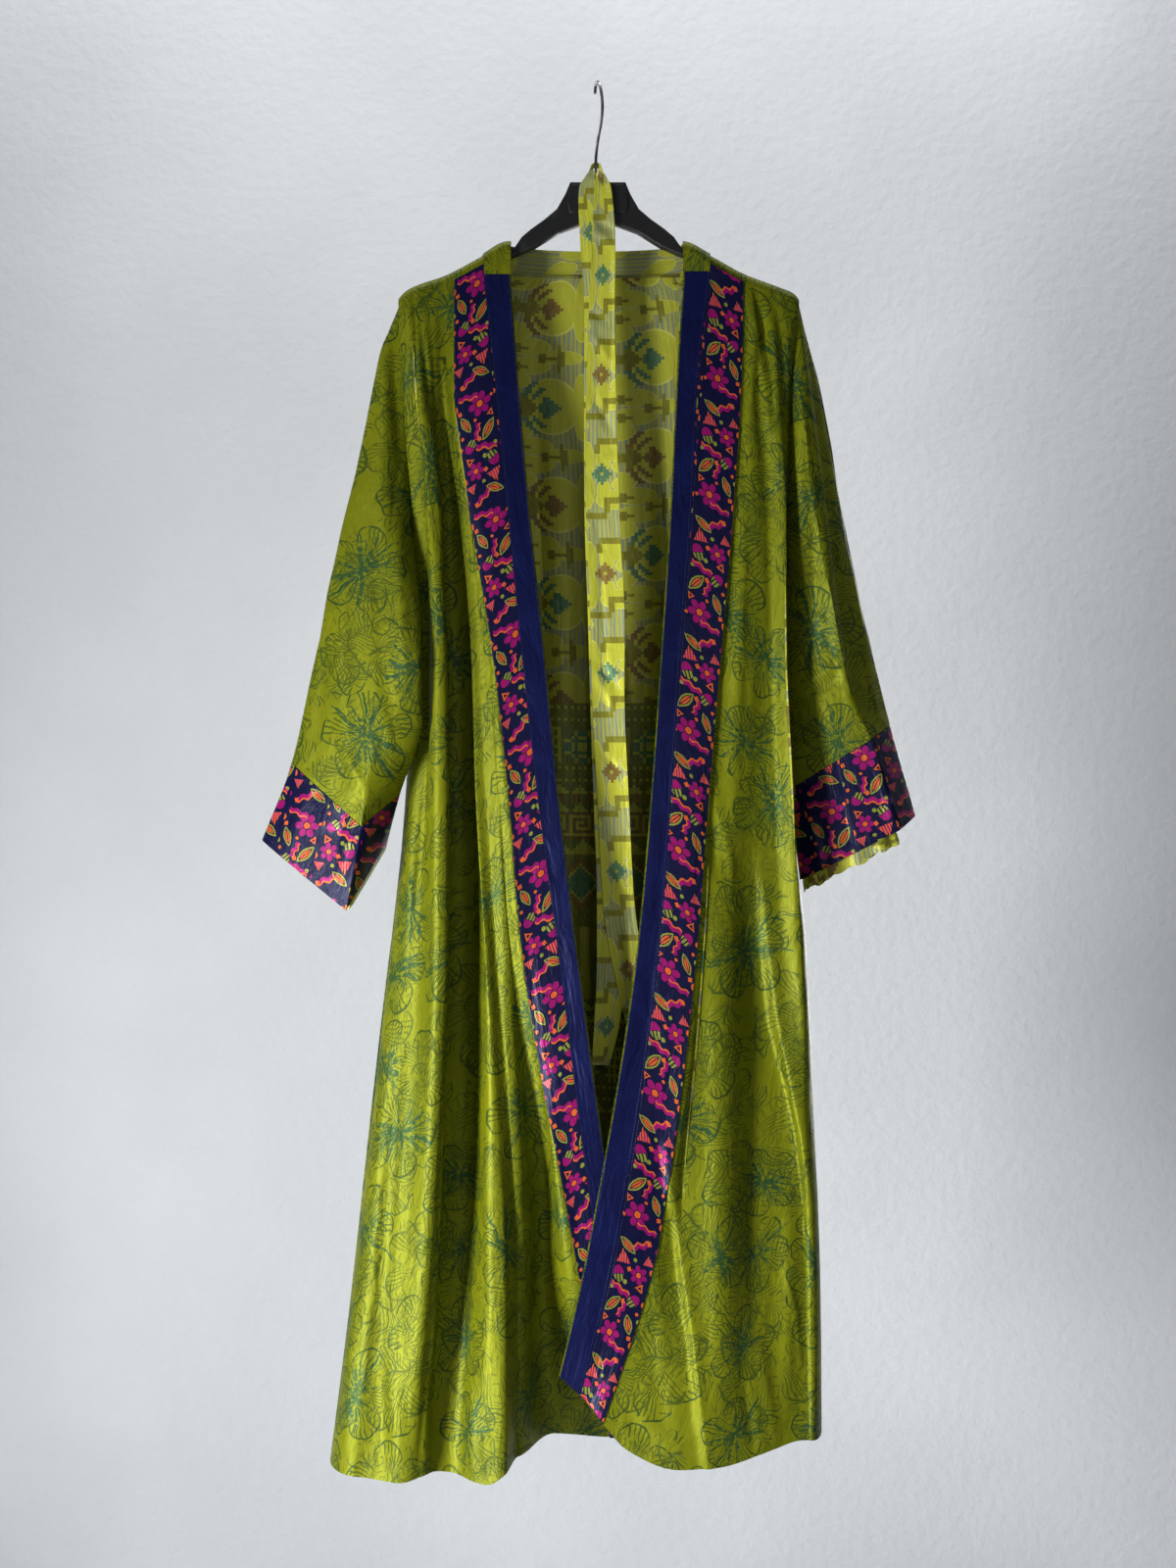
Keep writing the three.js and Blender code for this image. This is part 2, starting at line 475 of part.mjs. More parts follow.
// The moulded hanger's outline: its head, and arms that end inside the
// shoulders, where the cloth rests on them.
const HEAD = { x: [29, 34, 43, 56, 70, 80, 87], z: [-104, -116, -132, -143, -153, -161.5, -171.8] };
const ARCH = { x: [0, 19, 41, 66, 94], z: [-146, -149, -157, -172.5, -184.5] };
const ARM_END = 200;
const ARM_TALL = 14;
const HANGER_X = -1;       // middle of the hanger
const REST = WALL + 1.9;   // from the shoulder line down to the arm's top
const armTop = (x) => shoulder(x) - REST;
const half = (hand) => {
  const over = [], under = [];
  for (let x = 100; x <= ARM_END; x += 10) {
    over.push([HANGER_X + hand * x, armTop(HANGER_X + hand * x)]);
    under.push([HANGER_X + hand * Math.min(x, ARM_END - 4), armTop(HANGER_X + hand * x) - ARM_TALL]);
  }
  const head = HEAD.x.map((x, i) => [HANGER_X + hand * x, HEAD.z[i]]);
  const arch = ARCH.x.map((x, i) => [HANGER_X + hand * x, ARCH.z[i]]);
  return { over: [...head, ...over], under: [...arch, ...under] };
};
const west = half(-1), east = half(1);
const outline = [
  ...west.under.slice(1), ...west.over.reverse(), ...east.over, ...east.under.reverse(),
].map(([x, z]) => new THREE.Vector2(x, z));
const BEVEL = 2.2;
const moulded = new THREE.ExtrudeGeometry(new THREE.Shape(outline), {
  depth: HANGER_DEEP - 2 * BEVEL, bevelEnabled: true, bevelThickness: BEVEL, bevelSize: BEVEL,
  bevelOffset: -BEVEL, bevelSegments: 2,
});
moulded.translate(0, 0, -(HANGER_DEEP - 2 * BEVEL) / 2);
moulded.rotateX(Math.PI / 2);
const hanger = new THREE.Mesh(moulded, blackPlastic());
hanger.name = 'hanger_body';
kimono.add(hanger);

// The hook stands on the head, leans back and curls forward over the origin.
const CREST = WIRE / 2;
const CURL = 20;           // radius of the curl's centre line
const CURL_TURN = 0.2;     // sine of the angle between the curl and the Y axis
const STEM_X = -3;
const curl = (degrees) => {
  const along = CURL * Math.cos((degrees * Math.PI) / 180);
  return new THREE.Vector3(along * CURL_TURN, along * Math.sqrt(1 - CURL_TURN ** 2),
    CREST - CURL + CURL * Math.sin((degrees * Math.PI) / 180));
};
const wirePath = new THREE.CatmullRomCurve3([
  new THREE.Vector3(STEM_X, 0, HEAD.z[0] + SEAM), new THREE.Vector3(STEM_X, 0, -92),
  new THREE.Vector3(STEM_X, 0.3, -78), new THREE.Vector3(-0.5, 8, -54),
  new THREE.Vector3(2.5, 15.5, -36), ...[0, 30, 60, 90, 120, 150, 173].map(curl),
]);
const wireSection = new THREE.Shape().absarc(0, 0, WIRE / 2, 0, Math.PI * 2);
const wire = new THREE.Mesh(
  new THREE.ExtrudeGeometry(wireSection, { steps: 40, curveSegments: 5, extrudePath: wirePath }), steel());
wire.name = 'hanger_hook';
kimono.add(wire);

export default kimono;
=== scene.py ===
# A long lined silk kimono robe, hung open on a black moulded hanger with its
# own belt laid over the hook. Metres, with tables of cut and fold in mm.
from math import pi, radians

import bpy
import numpy as np
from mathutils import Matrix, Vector


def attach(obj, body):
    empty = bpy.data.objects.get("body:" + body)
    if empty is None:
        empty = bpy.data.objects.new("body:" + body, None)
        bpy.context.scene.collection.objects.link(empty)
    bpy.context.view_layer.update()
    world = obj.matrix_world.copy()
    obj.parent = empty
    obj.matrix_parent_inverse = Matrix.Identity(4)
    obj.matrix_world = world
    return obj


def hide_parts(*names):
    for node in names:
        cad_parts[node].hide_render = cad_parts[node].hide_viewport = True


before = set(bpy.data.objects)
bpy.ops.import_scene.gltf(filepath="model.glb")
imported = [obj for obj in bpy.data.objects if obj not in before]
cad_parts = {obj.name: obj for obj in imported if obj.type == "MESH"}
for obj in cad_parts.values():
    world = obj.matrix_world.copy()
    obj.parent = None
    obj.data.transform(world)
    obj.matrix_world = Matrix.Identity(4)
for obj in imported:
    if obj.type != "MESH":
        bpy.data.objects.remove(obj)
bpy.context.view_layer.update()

# ------------------------------------------------------------------ camera
# A level view from 2.2 m in front of the robe, at the height of its middle.
view = bpy.data.cameras.new("view")
view.lens = 48.06
view.sensor_width = 36
viewer = bpy.data.objects.new("viewer", view)
viewer.location = (-0.01133, -2.2, -0.7354)
viewer.rotation_euler = (pi / 2, 0, 0)
bpy.context.scene.collection.objects.link(viewer)
bpy.context.scene.camera = viewer

# ------------------------------------------------------------------ fronts
# The two fronts are lined panels of printed silk satin that hang from the
# hanger's arms to the hem. Each is drawn between lines that run down it, the
# crests and feet of its folds, and then pressed with creases.
MM = 0.001
WALL = 1.6                 # silk and lining, sewn as one wall
SEAM = 0.3
SHOULDER_DROP = 12
HEIGHTS = [-210, -300, -450, -600, -750, -900, -1200, -1430]
SHOULDER = ([-215, -211, -198, -160, -124, -95, 88, 116, 153, 190, 204, 211, 214],
            [-238, -227, -215, -201, -182, -167, -167, -180, -200, -214, -220, -229, -242])
TURN_ROWS, ROWS = 4, 19    # the table's rows over the shoulder, and below it
OVER_SHOULDER = 12         # rows of faces over the shoulder
LEFT_FINE, RIGHT_FINE = 5, 6   # columns of points for each one of a table
LEFT_FRONT = [
    # line, columns to the next, x at each height, y at each height
    ("side", 4, [-211, -206, -199, -197, -203, -218, -251, -280], [-11, -11, -9, 0, 0, 0, 0, 0]),
    ("turn of the side", 2, [-196, -190, -180, -176, -182, -196, -222, -246],
     [-12, -17, -22, -25, -29, -34, -46, -58]),
    ("outer fold, crest", 1, [-188, -186, -175, -164, -162, -162, -175, -192],
     [-12, -21, -32, -42, -50, -56, -66, -74]),
    ("outer fold, edge", 2, [-182, -179, -168, -156, -154, -154, -165, -181],
     [-12, -20, -30, -39, -46, -52, -62, -71]),
    ("valley", 3, [-172, -171, -159, -148, -145, -143, -152, -164],
     [-12, -18, -22, -27, -31, -35, -44, -60]),
    ("inner fold, crest", 2, [-162, -160, -146, -133, -127, -118, -99, -96],
     [-12, -18, -25, -34, -42, -50, -68, -88]),
    ("inner fold, foot", 2, [-156, -155, -140, -124, -116, -106, -86, -84],
     [-12, -18, -25, -32, -37, -41, -50, -48]),
    ("hollow at the hem", 2, [-153, -153, -137, -117, -104, -92, -58, -46],
     [-12, -18, -26, -33, -38, -42, -34, 12]),
    ("border", 2, [-151, -151, -134, -110, -93, -80, -28, 13],
     [-12, -18, -27, -36, -44, -51, -52, 4]),
    ("band", 2, [-120, -110, -95, -80, -63, -43, -4, 37], [-12, -17, -27, -37, -46, -53, -54, 0]),
    ("edge", 0, [-92, -85, -72, -56, -41, -23, 19, 64], [-12, -16, -26, -37, -47, -55, -54, -6]),
]
RIGHT_FRONT = [
    ("side", 4, [212, 203, 196, 189, 195, 216, 228, 233], [-11, -11, -9, 0, 0, 0, 0, 0]),
    ("ridge over the sleeve", 2, [190, 182, 193, 194, 200, 206, 211, 216],
     [-12, -24, -36, -46, -52, -54, -58, -66]),
    ("foot of the ridge", 3, [177, 167, 173, 175, 180, 184, 190, 200],
     [-12, -17, -27, -35, -42, -47, -56, -66]),
    ("broad fold", 3, [165, 160, 155, 148, 142, 140, 146, 158],
     [-12, -20, -32, -43, -52, -58, -68, -76]),
    ("crease", 2, [154, 152, 143, 130, 117, 106, 84, 105], [-12, -18, -29, -38, -46, -52, -62, -80]),
    ("border", 2, [151, 149, 139, 126, 112, 100, 61, -10], [-12, -18, -30, -40, -48, -55, -68, -64]),
    ("band", 2, [116, 104, 96, 84, 74, 62, 18, -36], [-12, -18, -30, -41, -50, -58, -71, -50]),
    ("edge", 0, [88, 82, 74, 64, 53, 39, -10, -62], [-12, -17, -30, -42, -52, -61, -72, -44]),
]
LEFT_HEM = ([-280, -206, -169, -114, -87, -52, 60], [-1442, -1446, -1438, -1444, -1428, -1421, -1424])
RIGHT_HEM = ([233, 210, 177, 122, 78, 28, -5, -45],
             [-1406, -1405, -1413, -1428, -1431, -1414, -1374, -1337])


def smooth(knots, values, at):
    """Values between knots on a curve that never passes its neighbours."""
    down = -1 if knots[0] > knots[1] else 1
    k, v = np.array(knots, float) * down, np.array(values, float)
    at = np.asarray(at, float) * down
    grade = np.diff(v) / np.diff(k)
    a, b = grade[:-1], grade[1:]
    slope = np.empty(len(v))
    slope[0], slope[-1] = grade[0], grade[-1]
    slope[1:-1] = np.where(a * b <= 0, 0, 2 * a * b / np.where(a + b == 0, 1, a + b))
    i = np.clip(np.searchsorted(k, at) - 1, 0, len(k) - 2)
    span = k[i + 1] - k[i]
    t = (at - k[i]) / span
    s = np.clip(t, 0, 1)
    s2, s3 = s * s, s ** 3
    return (v[i] * (2 * s3 - 3 * s2 + 1) + v[i + 1] * (3 * s2 - 2 * s3)
            + span * (slope[i] * (s3 - 2 * s2 + s + np.minimum(t, 0))
                      + slope[i + 1] * (s3 - s2 + np.maximum(t - 1, 0))))


def shoulder(x):
    return smooth(*SHOULDER, x)


def panel(lines, hem, top, neck=lambda x: 0 * x, fine=5, down=13):
    """Points of a panel, rows by columns, with `fine` columns and `down` rows
    for each one of its table."""
    starts = np.concatenate([[0], np.cumsum([steps for _, steps, _, _ in lines[:-1]])])
    cols = np.linspace(0, starts[-1], starts[-1] * fine + 1)
    rows = np.concatenate([np.linspace(0, TURN_ROWS, OVER_SHOULDER + 1),
                           np.linspace(TURN_ROWS, TURN_ROWS + ROWS, ROWS * down + 1)[1:]])
    turn = np.clip(rows / TURN_ROWS, 0, 1) * pi / 2
    fall = np.maximum((rows - TURN_ROWS) / ROWS, 0)
    share = fall * (0.6 + 0.4 * fall)
    spots = np.empty((len(rows), len(cols), 3))
    last = len(lines) - 2
    for c, col in enumerate(cols):
        k = int(np.clip(np.searchsorted(starts, col, side="right") - 1, 0, last))
        t = (col - starts[k]) / lines[k][1]
        first, final = k == 0, k == last and lines[k + 1][0].endswith("side")
        quarter = pi / 2 * t
        along = 1 - np.cos(quarter) if first else np.sin(quarter) if final else t
        out = np.sin(quarter) if first else 1 - np.cos(quarter) if final else (1 - np.cos(pi * t)) / 2

        def mix(key, part, z):
            a, b = smooth(HEIGHTS, lines[k][key], z), smooth(HEIGHTS, lines[k + 1][key], z)
            return a + (b - a) * part
        x = mix(2, along, HEIGHTS[0] + (HEIGHTS[-1] - HEIGHTS[0]) * share)
        for _ in range(4):
            high = top(x)
            z = high - SHOULDER_DROP * (1 - np.cos(turn))
            z = z + (smooth(*hem, x) - (high - SHOULDER_DROP)) * share
            x = mix(2, along, np.minimum(z, HEIGHTS[0]))
        y = mix(3, out, np.minimum(z, HEIGHTS[0])) * np.maximum(np.sin(turn), neck(x))
        spots[:, c] = np.stack([x, y, z], axis=-1)
    return spots


def facing(spots, hand, ring=False):
    """Unit normals of a grid of points. A ring's columns close on themselves."""
    down = np.gradient(spots, axis=0)
    if ring:
        across = (np.roll(spots, -1, axis=1) - np.roll(spots, 1, axis=1)) / 2
    else:
        across = np.gradient(spots, axis=1)
    n = np.cross(down, across) * hand
    return n / np.maximum(np.linalg.norm(n, axis=-1, keepdims=True), 1e-9)


def creased(spots, normals, creases):
    """The points pressed by creases drawn on the front view. Each crease is
    its height out of the cloth, its widths to the left and right, and points
    (x, z) along it. It fades at both ends."""
    x, z = spots[..., 0], spots[..., 2]
    push = np.zeros(x.shape)
    for height, left, right, *route in creases:
        route = np.array(route, float)
        lengths = np.linalg.norm(np.diff(route, axis=0), axis=1)
        total, run = lengths.sum(), 0.0
        near = np.full(x.shape, 1e9)
        side = np.zeros(x.shape)
        along = np.zeros(x.shape)
        for (ax, az), (bx, bz), length in zip(route[:-1], route[1:], lengths):
            dx, dz = (bx - ax) / length, (bz - az) / length
            t = np.clip((x - ax) * dx + (z - az) * dz, 0, length)
            ox, oz = x - ax - t * dx, z - az - t * dz
            far = np.hypot(ox, oz)
            closer = far < near
            near = np.where(closer, far, near)
            side = np.where(closer, ox * dz - oz * dx, side)
            along = np.where(closer, (run + t) / total, along)
            run += length
        # The line runs downwards, so a positive side lies to its left.
        width = np.where(side > 0, left, right)
        push += height * np.exp(-(near / width) ** 2) * np.sin(pi * np.clip(along, 0, 1)) ** 0.7
    return spots + normals * push[..., None]


SPAN = 2.0                 # metres of cloth to one unit of a piece's UV map
INSIDE_FROM = 0.9          # metres from the outer face's cloth to the inner's


def measured(spots):
    """Cloth measured along its rows and columns, in metres."""
    u = np.zeros(spots.shape[:2])
    u[:, 1:] = np.cumsum(np.linalg.norm(np.diff(spots, axis=1), axis=-1), axis=1)
    v = np.zeros(spots.shape[:2])
    v[1:] = np.cumsum(np.linalg.norm(np.diff(spots, axis=0), axis=-1), axis=0)
    return u * MM, v * MM


def shell(name, spots, normals, thick, outside, inside, lift=0.0, ring=False, uv=None):
    """A closed wall of cloth with its outer face on the points, moved out by
    `lift`, and its inner face `thick` behind that."""
    rows, cols = spots.shape[:2]
    outer, inner = spots + normals * lift, spots + normals * (lift - thick)
    mesh = bpy.data.meshes.new(name)
    u, v = measured(spots) if uv is None else uv
    wide = cols if ring else cols - 1
    r, c = np.meshgrid(np.arange(rows - 1), np.arange(wide), indexing="ij")
    c2 = (c + 1) % cols
    a, b, d, e = r * cols + c, (r + 1) * cols + c, (r + 1) * cols + c2, r * cols + c2
    quads = [np.stack([a, b, d, e], -1).reshape(-1, 4)]
    half = rows * cols
    quads.append(np.stack([a, e, d, b], -1).reshape(-1, 4) + half)
    c, c2 = np.arange(wide), (np.arange(wide) + 1) % cols
    low = (rows - 1) * cols
    quads.append(np.stack([c, c2, c2 + half, c + half], -1))
    quads.append(np.stack([c2 + low, c + low, c + low + half, c2 + low + half], -1))
    if not ring:
        r = np.arange(rows - 1) * cols
        quads.append(np.stack([r + cols, r, r + half, r + cols + half], -1))
        s = r + cols - 1
        quads.append(np.stack([s, s + cols, s + cols + half, s + half], -1))
    faces = np.concatenate(quads)
    points = np.concatenate([outer.reshape(-1, 3), inner.reshape(-1, 3)]) * MM
    mesh.from_pydata(points.tolist(), [], faces.tolist())
    flat_u, flat_v = np.tile(u.reshape(-1), 2), np.tile(v.reshape(-1), 2)
    loop_u, loop_v = flat_u[faces], flat_v[faces]
    behind = len(quads[0])
    shift = np.zeros(len(faces))
    shift[behind:2 * behind] = INSIDE_FROM
    loop_u = loop_u + shift[:, None]
    sheet_uv = mesh.uv_layers.new(name="cloth")
    sheet_uv.data.foreach_set("uv", (np.stack([loop_u, loop_v], -1) / SPAN).reshape(-1).astype("f4"))
    mesh.materials.append(outside)
    mesh.materials.append(inside)
    index = np.zeros(len(faces), dtype="i4")
    index[behind:2 * behind] = 1
    mesh.polygons.foreach_set("material_index", index)
    mesh.polygons.foreach_set("use_smooth", np.ones(len(faces), dtype=bool))
    mesh.set_sharp_from_angle(angle=radians(55))
    mesh.update()
    piece = bpy.data.objects.new(name, mesh)
    bpy.context.scene.collection.objects.link(piece)
    return piece


def feed(tree, sockets, values):
    """Each value linked to its socket or set there. None leaves it as it is."""
    for socket, value in zip(sockets, values):
        if isinstance(value, bpy.types.NodeSocket):
            tree.links.new(value, socket)
        elif value is not None:
            socket.default_value = value


def node(tree, kind, *values, out=0, **settings):
    """A node with its settings made, its inputs fed in order, and its output
    `out` handed back."""
    made = tree.nodes.new("ShaderNode" + kind)
    for key, value in settings.items():
        setattr(made, key, value)
    feed(tree, made.inputs, values)
    return made.outputs[out]


def calc(tree, operation, *values):
    return node(tree, "Math", *values, operation=operation)


def ramp(tree, value, low, high):
    """0 at low, 1 at high and smooth between."""
    return node(tree, "MapRange", value, low, high, 0.0, 1.0, interpolation_type="SMOOTHSTEP")


def blend(tree, share, first, second, how="MIX"):
    made = tree.nodes.new("ShaderNodeMix")
    made.data_type, made.blend_type = "RGBA", how
    feed(tree, (made.inputs[0], made.inputs[6], made.inputs[7]),
         [(*value, 1) if isinstance(value, tuple) else value for value in (share, first, second)])
    return made.outputs[2]


def group(name, inputs, outputs):
    """A shader group with named inputs and outputs, and its two end nodes."""
    tree = bpy.data.node_groups.new(name, "ShaderNodeTree")
    for label, kind, value in inputs:
        socket = tree.interface.new_socket(label, in_out="INPUT", socket_type="NodeSocket" + kind)
        if value is not None:
            socket.default_value = value
    for label, kind in outputs:
        tree.interface.new_socket(label, in_out="OUTPUT", socket_type="NodeSocket" + kind)
    start, end = tree.nodes.new("NodeGroupInput"), tree.nodes.new("NodeGroupOutput")
    return tree, start.outputs, end.inputs


def use(tree, shared, *values):
    """Puts a shared group into a tree and returns its outputs."""
    made = tree.nodes.new("ShaderNodeGroup")
    made.node_tree = shared
    feed(tree, made.inputs, values)
    return made.outputs


# Drawn flowers, five hatched petals each, one to a cell of a loose scatter.
drawn_flowers, given, result = group(
    "drawn_flowers", [("Cloth", "Vector", None), ("Size", "Float", 0.085), ("Petals", "Float", 5.0)],
    [("Line", "Float"), ("Brush", "Float")])
t = drawn_flowers
wobble = node(t, "TexNoise", given[0], None, 38.0, 3.0, out=1)
wobble = node(t, "VectorMath", wobble, (0.5, 0.5, 0.5), operation="SUBTRACT")
wobble = node(t, "VectorMath", wobble, None, None, 0.014, operation="SCALE")
place = node(t, "VectorMath", given[0], wobble, operation="ADD")
density = calc(t, "DIVIDE", 1.0, given[1])
place = node(t, "VectorMath", place, None, None, density, operation="SCALE")
cell = t.nodes.new("ShaderNodeTexVoronoi")
cell.voronoi_dimensions = "2D"
cell.inputs["Scale"].default_value = 1.0
cell.inputs["Randomness"].default_value = 0.82
t.links.new(place, cell.inputs["Vector"])
away = node(t, "VectorMath", place, cell.outputs["Position"], operation="SUBTRACT")
parts = t.nodes.new("ShaderNodeSeparateXYZ")
t.links.new(away, parts.inputs[0])
chance = t.nodes.new("ShaderNodeSeparateColor")
t.links.new(cell.outputs["Color"], chance.inputs[0])
radius = node(t, "VectorMath", away, out=1, operation="LENGTH")
radius = calc(t, "MULTIPLY", radius, calc(t, "MULTIPLY_ADD", chance.outputs[1], 0.7, 1.55))
angle = calc(t, "ARCTAN2", parts.outputs[1], parts.outputs[0])
angle = calc(t, "ADD", calc(t, "ADD", angle, pi), calc(t, "MULTIPLY", chance.outputs[0], 6.283))
sector = calc(t, "DIVIDE", 2 * pi, given[2])
within = calc(t, "SUBTRACT", calc(t, "MODULO", angle, sector), calc(t, "MULTIPLY", sector, 0.5))
turned = calc(t, "DIVIDE", within, calc(t, "MULTIPLY", sector, 0.5))      # -1 to 1 over a petal
reach = calc(t, "POWER", calc(t, "SUBTRACT", 1.0, calc(t, "MULTIPLY", turned, turned)), 0.45)
reach = calc(t, "MULTIPLY_ADD", reach, 0.62, 0.3)
off = calc(t, "ABSOLUTE", calc(t, "SUBTRACT", radius, reach))
outline = calc(t, "SUBTRACT", 1.0, ramp(t, off, 0.008, 0.034))
inside = calc(t, "LESS_THAN", radius, reach)
beyond = calc(t, "GREATER_THAN", radius, 0.3)
comb = calc(t, "SINE", calc(t, "MULTIPLY", turned, 31.0))
hatch = calc(t, "MULTIPLY", calc(t, "MULTIPLY", ramp(t, comb, 0.25, 0.85), inside), beyond)
hatch = calc(t, "MULTIPLY", hatch, calc(t, "GREATER_THAN", turned, -0.3))
rings = calc(t, "SINE", calc(t, "MULTIPLY_ADD", radius, 46.0, calc(t, "MULTIPLY", turned, 3.0)))
rings = calc(t, "MULTIPLY", ramp(t, rings, 0.6, 0.95), calc(t, "MULTIPLY", inside,
                                                            calc(t, "LESS_THAN", turned, -0.35)))
gaps = node(t, "TexNoise", place, None, 5.5, 2.0)
line = calc(t, "MAXIMUM", outline, calc(t, "MAXIMUM", calc(t, "MULTIPLY", hatch, 0.85),
                                        calc(t, "MULTIPLY", rings, 0.6)))
line = calc(t, "MULTIPLY", line, ramp(t, gaps, 0.33, 0.43))
t.links.new(line, result[0])
spikes = node(t, "CombineXYZ", calc(t, "MULTIPLY", calc(t, "SINE", angle), 3.2),
              calc(t, "MULTIPLY", calc(t, "COSINE", angle), 3.2), chance.outputs[2])
spikes = node(t, "TexNoise", spikes, None, 2.6, 2.0)
spikes = calc(t, "POWER", spikes, 3.0)
narrow = calc(t, "ABSOLUTE", calc(t, "SINE", calc(t, "MULTIPLY_ADD", chance.outputs[0], 5.0, angle)))
heart = calc(t, "MULTIPLY", spikes, calc(t, "MULTIPLY_ADD", narrow, 2.2, 1.2))
heart = calc(t, "SUBTRACT", heart, radius)
heart = ramp(t, heart, -0.02, 0.06)
t.links.new(calc(t, "MULTIPLY", heart, calc(t, "GREATER_THAN", chance.outputs[2], 0.25)), result[1])

# Sprays of thin leaves on curved stems, which fill the ground between them.
drawn_sprays, given, result = group(
    "drawn_sprays", [("Cloth", "Vector", None), ("Size", "Float", 0.06)], [("Line", "Float")])
t = drawn_sprays
wobble = node(t, "TexNoise", given[0], None, 24.0, 2.0, out=1)
wobble = node(t, "VectorMath", wobble, (0.5, 0.5, 0.5), operation="SUBTRACT")
wobble = node(t, "VectorMath", wobble, None, None, 0.03, operation="SCALE")
place = node(t, "VectorMath", given[0], wobble, operation="ADD")
place = node(t, "VectorMath", place, None, None, calc(t, "DIVIDE", 1.0, given[1]), operation="SCALE")
cell = t.nodes.new("ShaderNodeTexVoronoi")
cell.voronoi_dimensions = "2D"
cell.inputs["Scale"].default_value = 1.0
t.links.new(place, cell.inputs["Vector"])
chance = t.nodes.new("ShaderNodeSeparateColor")
t.links.new(cell.outputs["Color"], chance.inputs[0])
away = node(t, "VectorMath", place, cell.outputs["Position"], operation="SUBTRACT")
spun = t.nodes.new("ShaderNodeVectorRotate")
spun.rotation_type = "Z_AXIS"
t.links.new(away, spun.inputs["Vector"])
t.links.new(calc(t, "MULTIPLY", chance.outputs[0], 6.283), spun.inputs["Angle"])
parts = t.nodes.new("ShaderNodeSeparateXYZ")
t.links.new(spun.outputs[0], parts.inputs[0])
bow = calc(t, "MULTIPLY", calc(t, "MULTIPLY", parts.outputs[0], parts.outputs[0]), 0.5)
height = calc(t, "SUBTRACT", parts.outputs[1], bow)
stem = calc(t, "SUBTRACT", 1.0, ramp(t, calc(t, "ABSOLUTE", height), 0.008, 0.03))
# Each leaf springs from the stem and leans forward along it.
lean = calc(t, "SUBTRACT", parts.outputs[0], calc(t, "MULTIPLY", calc(t, "ABSOLUTE", height), 0.8))
pitch = calc(t, "SUBTRACT", calc(t, "FRACT", calc(t, "MULTIPLY", lean, 4.5)), 0.5)
high = calc(t, "MULTIPLY", calc(t, "ABSOLUTE", height), 2.9)
round_out = calc(t, "MULTIPLY", calc(t, "SQRT", calc(t, "MAXIMUM", calc(
    t, "SUBTRACT", high, calc(t, "MULTIPLY", high, high)), 0.0)), 0.75)
leaf = calc(t, "ABSOLUTE", calc(t, "SUBTRACT", calc(t, "ABSOLUTE", pitch), round_out))
leaf = calc(t, "SUBTRACT", 1.0, ramp(t, leaf, 0.03, 0.10))
leaf = calc(t, "MULTIPLY", leaf, calc(t, "LESS_THAN", high, 1.0))
vein = calc(t, "MULTIPLY", calc(t, "SUBTRACT", 1.0, ramp(t, calc(t, "ABSOLUTE", pitch), 0.0, 0.06)),
            calc(t, "LESS_THAN", high, 0.7))
line = calc(t, "MAXIMUM", calc(t, "MAXIMUM", stem, leaf), vein)
gaps = node(t, "TexNoise", place, None, 3.0, 1.0)
line = calc(t, "MULTIPLY", line, ramp(t, gaps, 0.42, 0.52))
line = calc(t, "MULTIPLY", line, calc(t, "LESS_THAN", calc(t, "ABSOLUTE", parts.outputs[0]), 0.5))
t.links.new(line, result[0])

# A cloth's own threads, as fine streaks along it with slubs, for bump.
silk_threads, given, result = group(
    "silk_threads", [("Cloth", "Vector", None), ("Fineness", "Float", 2600.0)],
    [("Streak", "Float"), ("Slub", "Float"), ("Crinkle", "Float")])
t = silk_threads
fine = node(t, "VectorMath", given[0], (1.0, 0.035, 1.0), operation="MULTIPLY")
t.links.new(node(t, "TexNoise", fine, None, given[1], 2.0), result[0])
t.links.new(node(t, "TexNoise", node(t, "VectorMath", given[0], (1.0, 0.05, 1.0), operation="MULTIPLY"),
                 None, 340.0, 3.0), result[1])
crumple = node(t, "VectorMath", given[0], (1.0, 0.42, 1.0), operation="MULTIPLY")
t.links.new(node(t, "TexNoise", crumple, None, 46.0, 4.0, 0.55, None, None, None, 0.8), result[2])


def cloth_place(tree):
    """Metres across and along the cloth, from the piece's own UV map."""
    spot = tree.nodes.new("ShaderNodeUVMap")
    spot.uv_map = "cloth"
    return node(tree, "VectorMath", spot.outputs[0], None, None, SPAN, operation="SCALE")


def new_material(name, rough, sheen, **more):
    made = bpy.data.materials.new(name)
    made.use_nodes = True
    face = made.node_tree.nodes["Principled BSDF"]
    face.inputs["Roughness"].default_value = rough
    face.inputs["Sheen Weight"].default_value = sheen
    for key, value in more.items():
        face.inputs[key.replace("_", " ")].default_value = value
    return made, made.node_tree, face


def relief(tree, face, height, depth):
    """Bump on a face: `depth` metres for a height of 1."""
    bump = tree.nodes.new("ShaderNodeBump")
    bump.inputs["Distance"].default_value = depth
    bump.inputs["Strength"].default_value = 1.0
    tree.links.new(height, bump.inputs["Height"])
    tree.links.new(bump.outputs[0], face.inputs["Normal"])


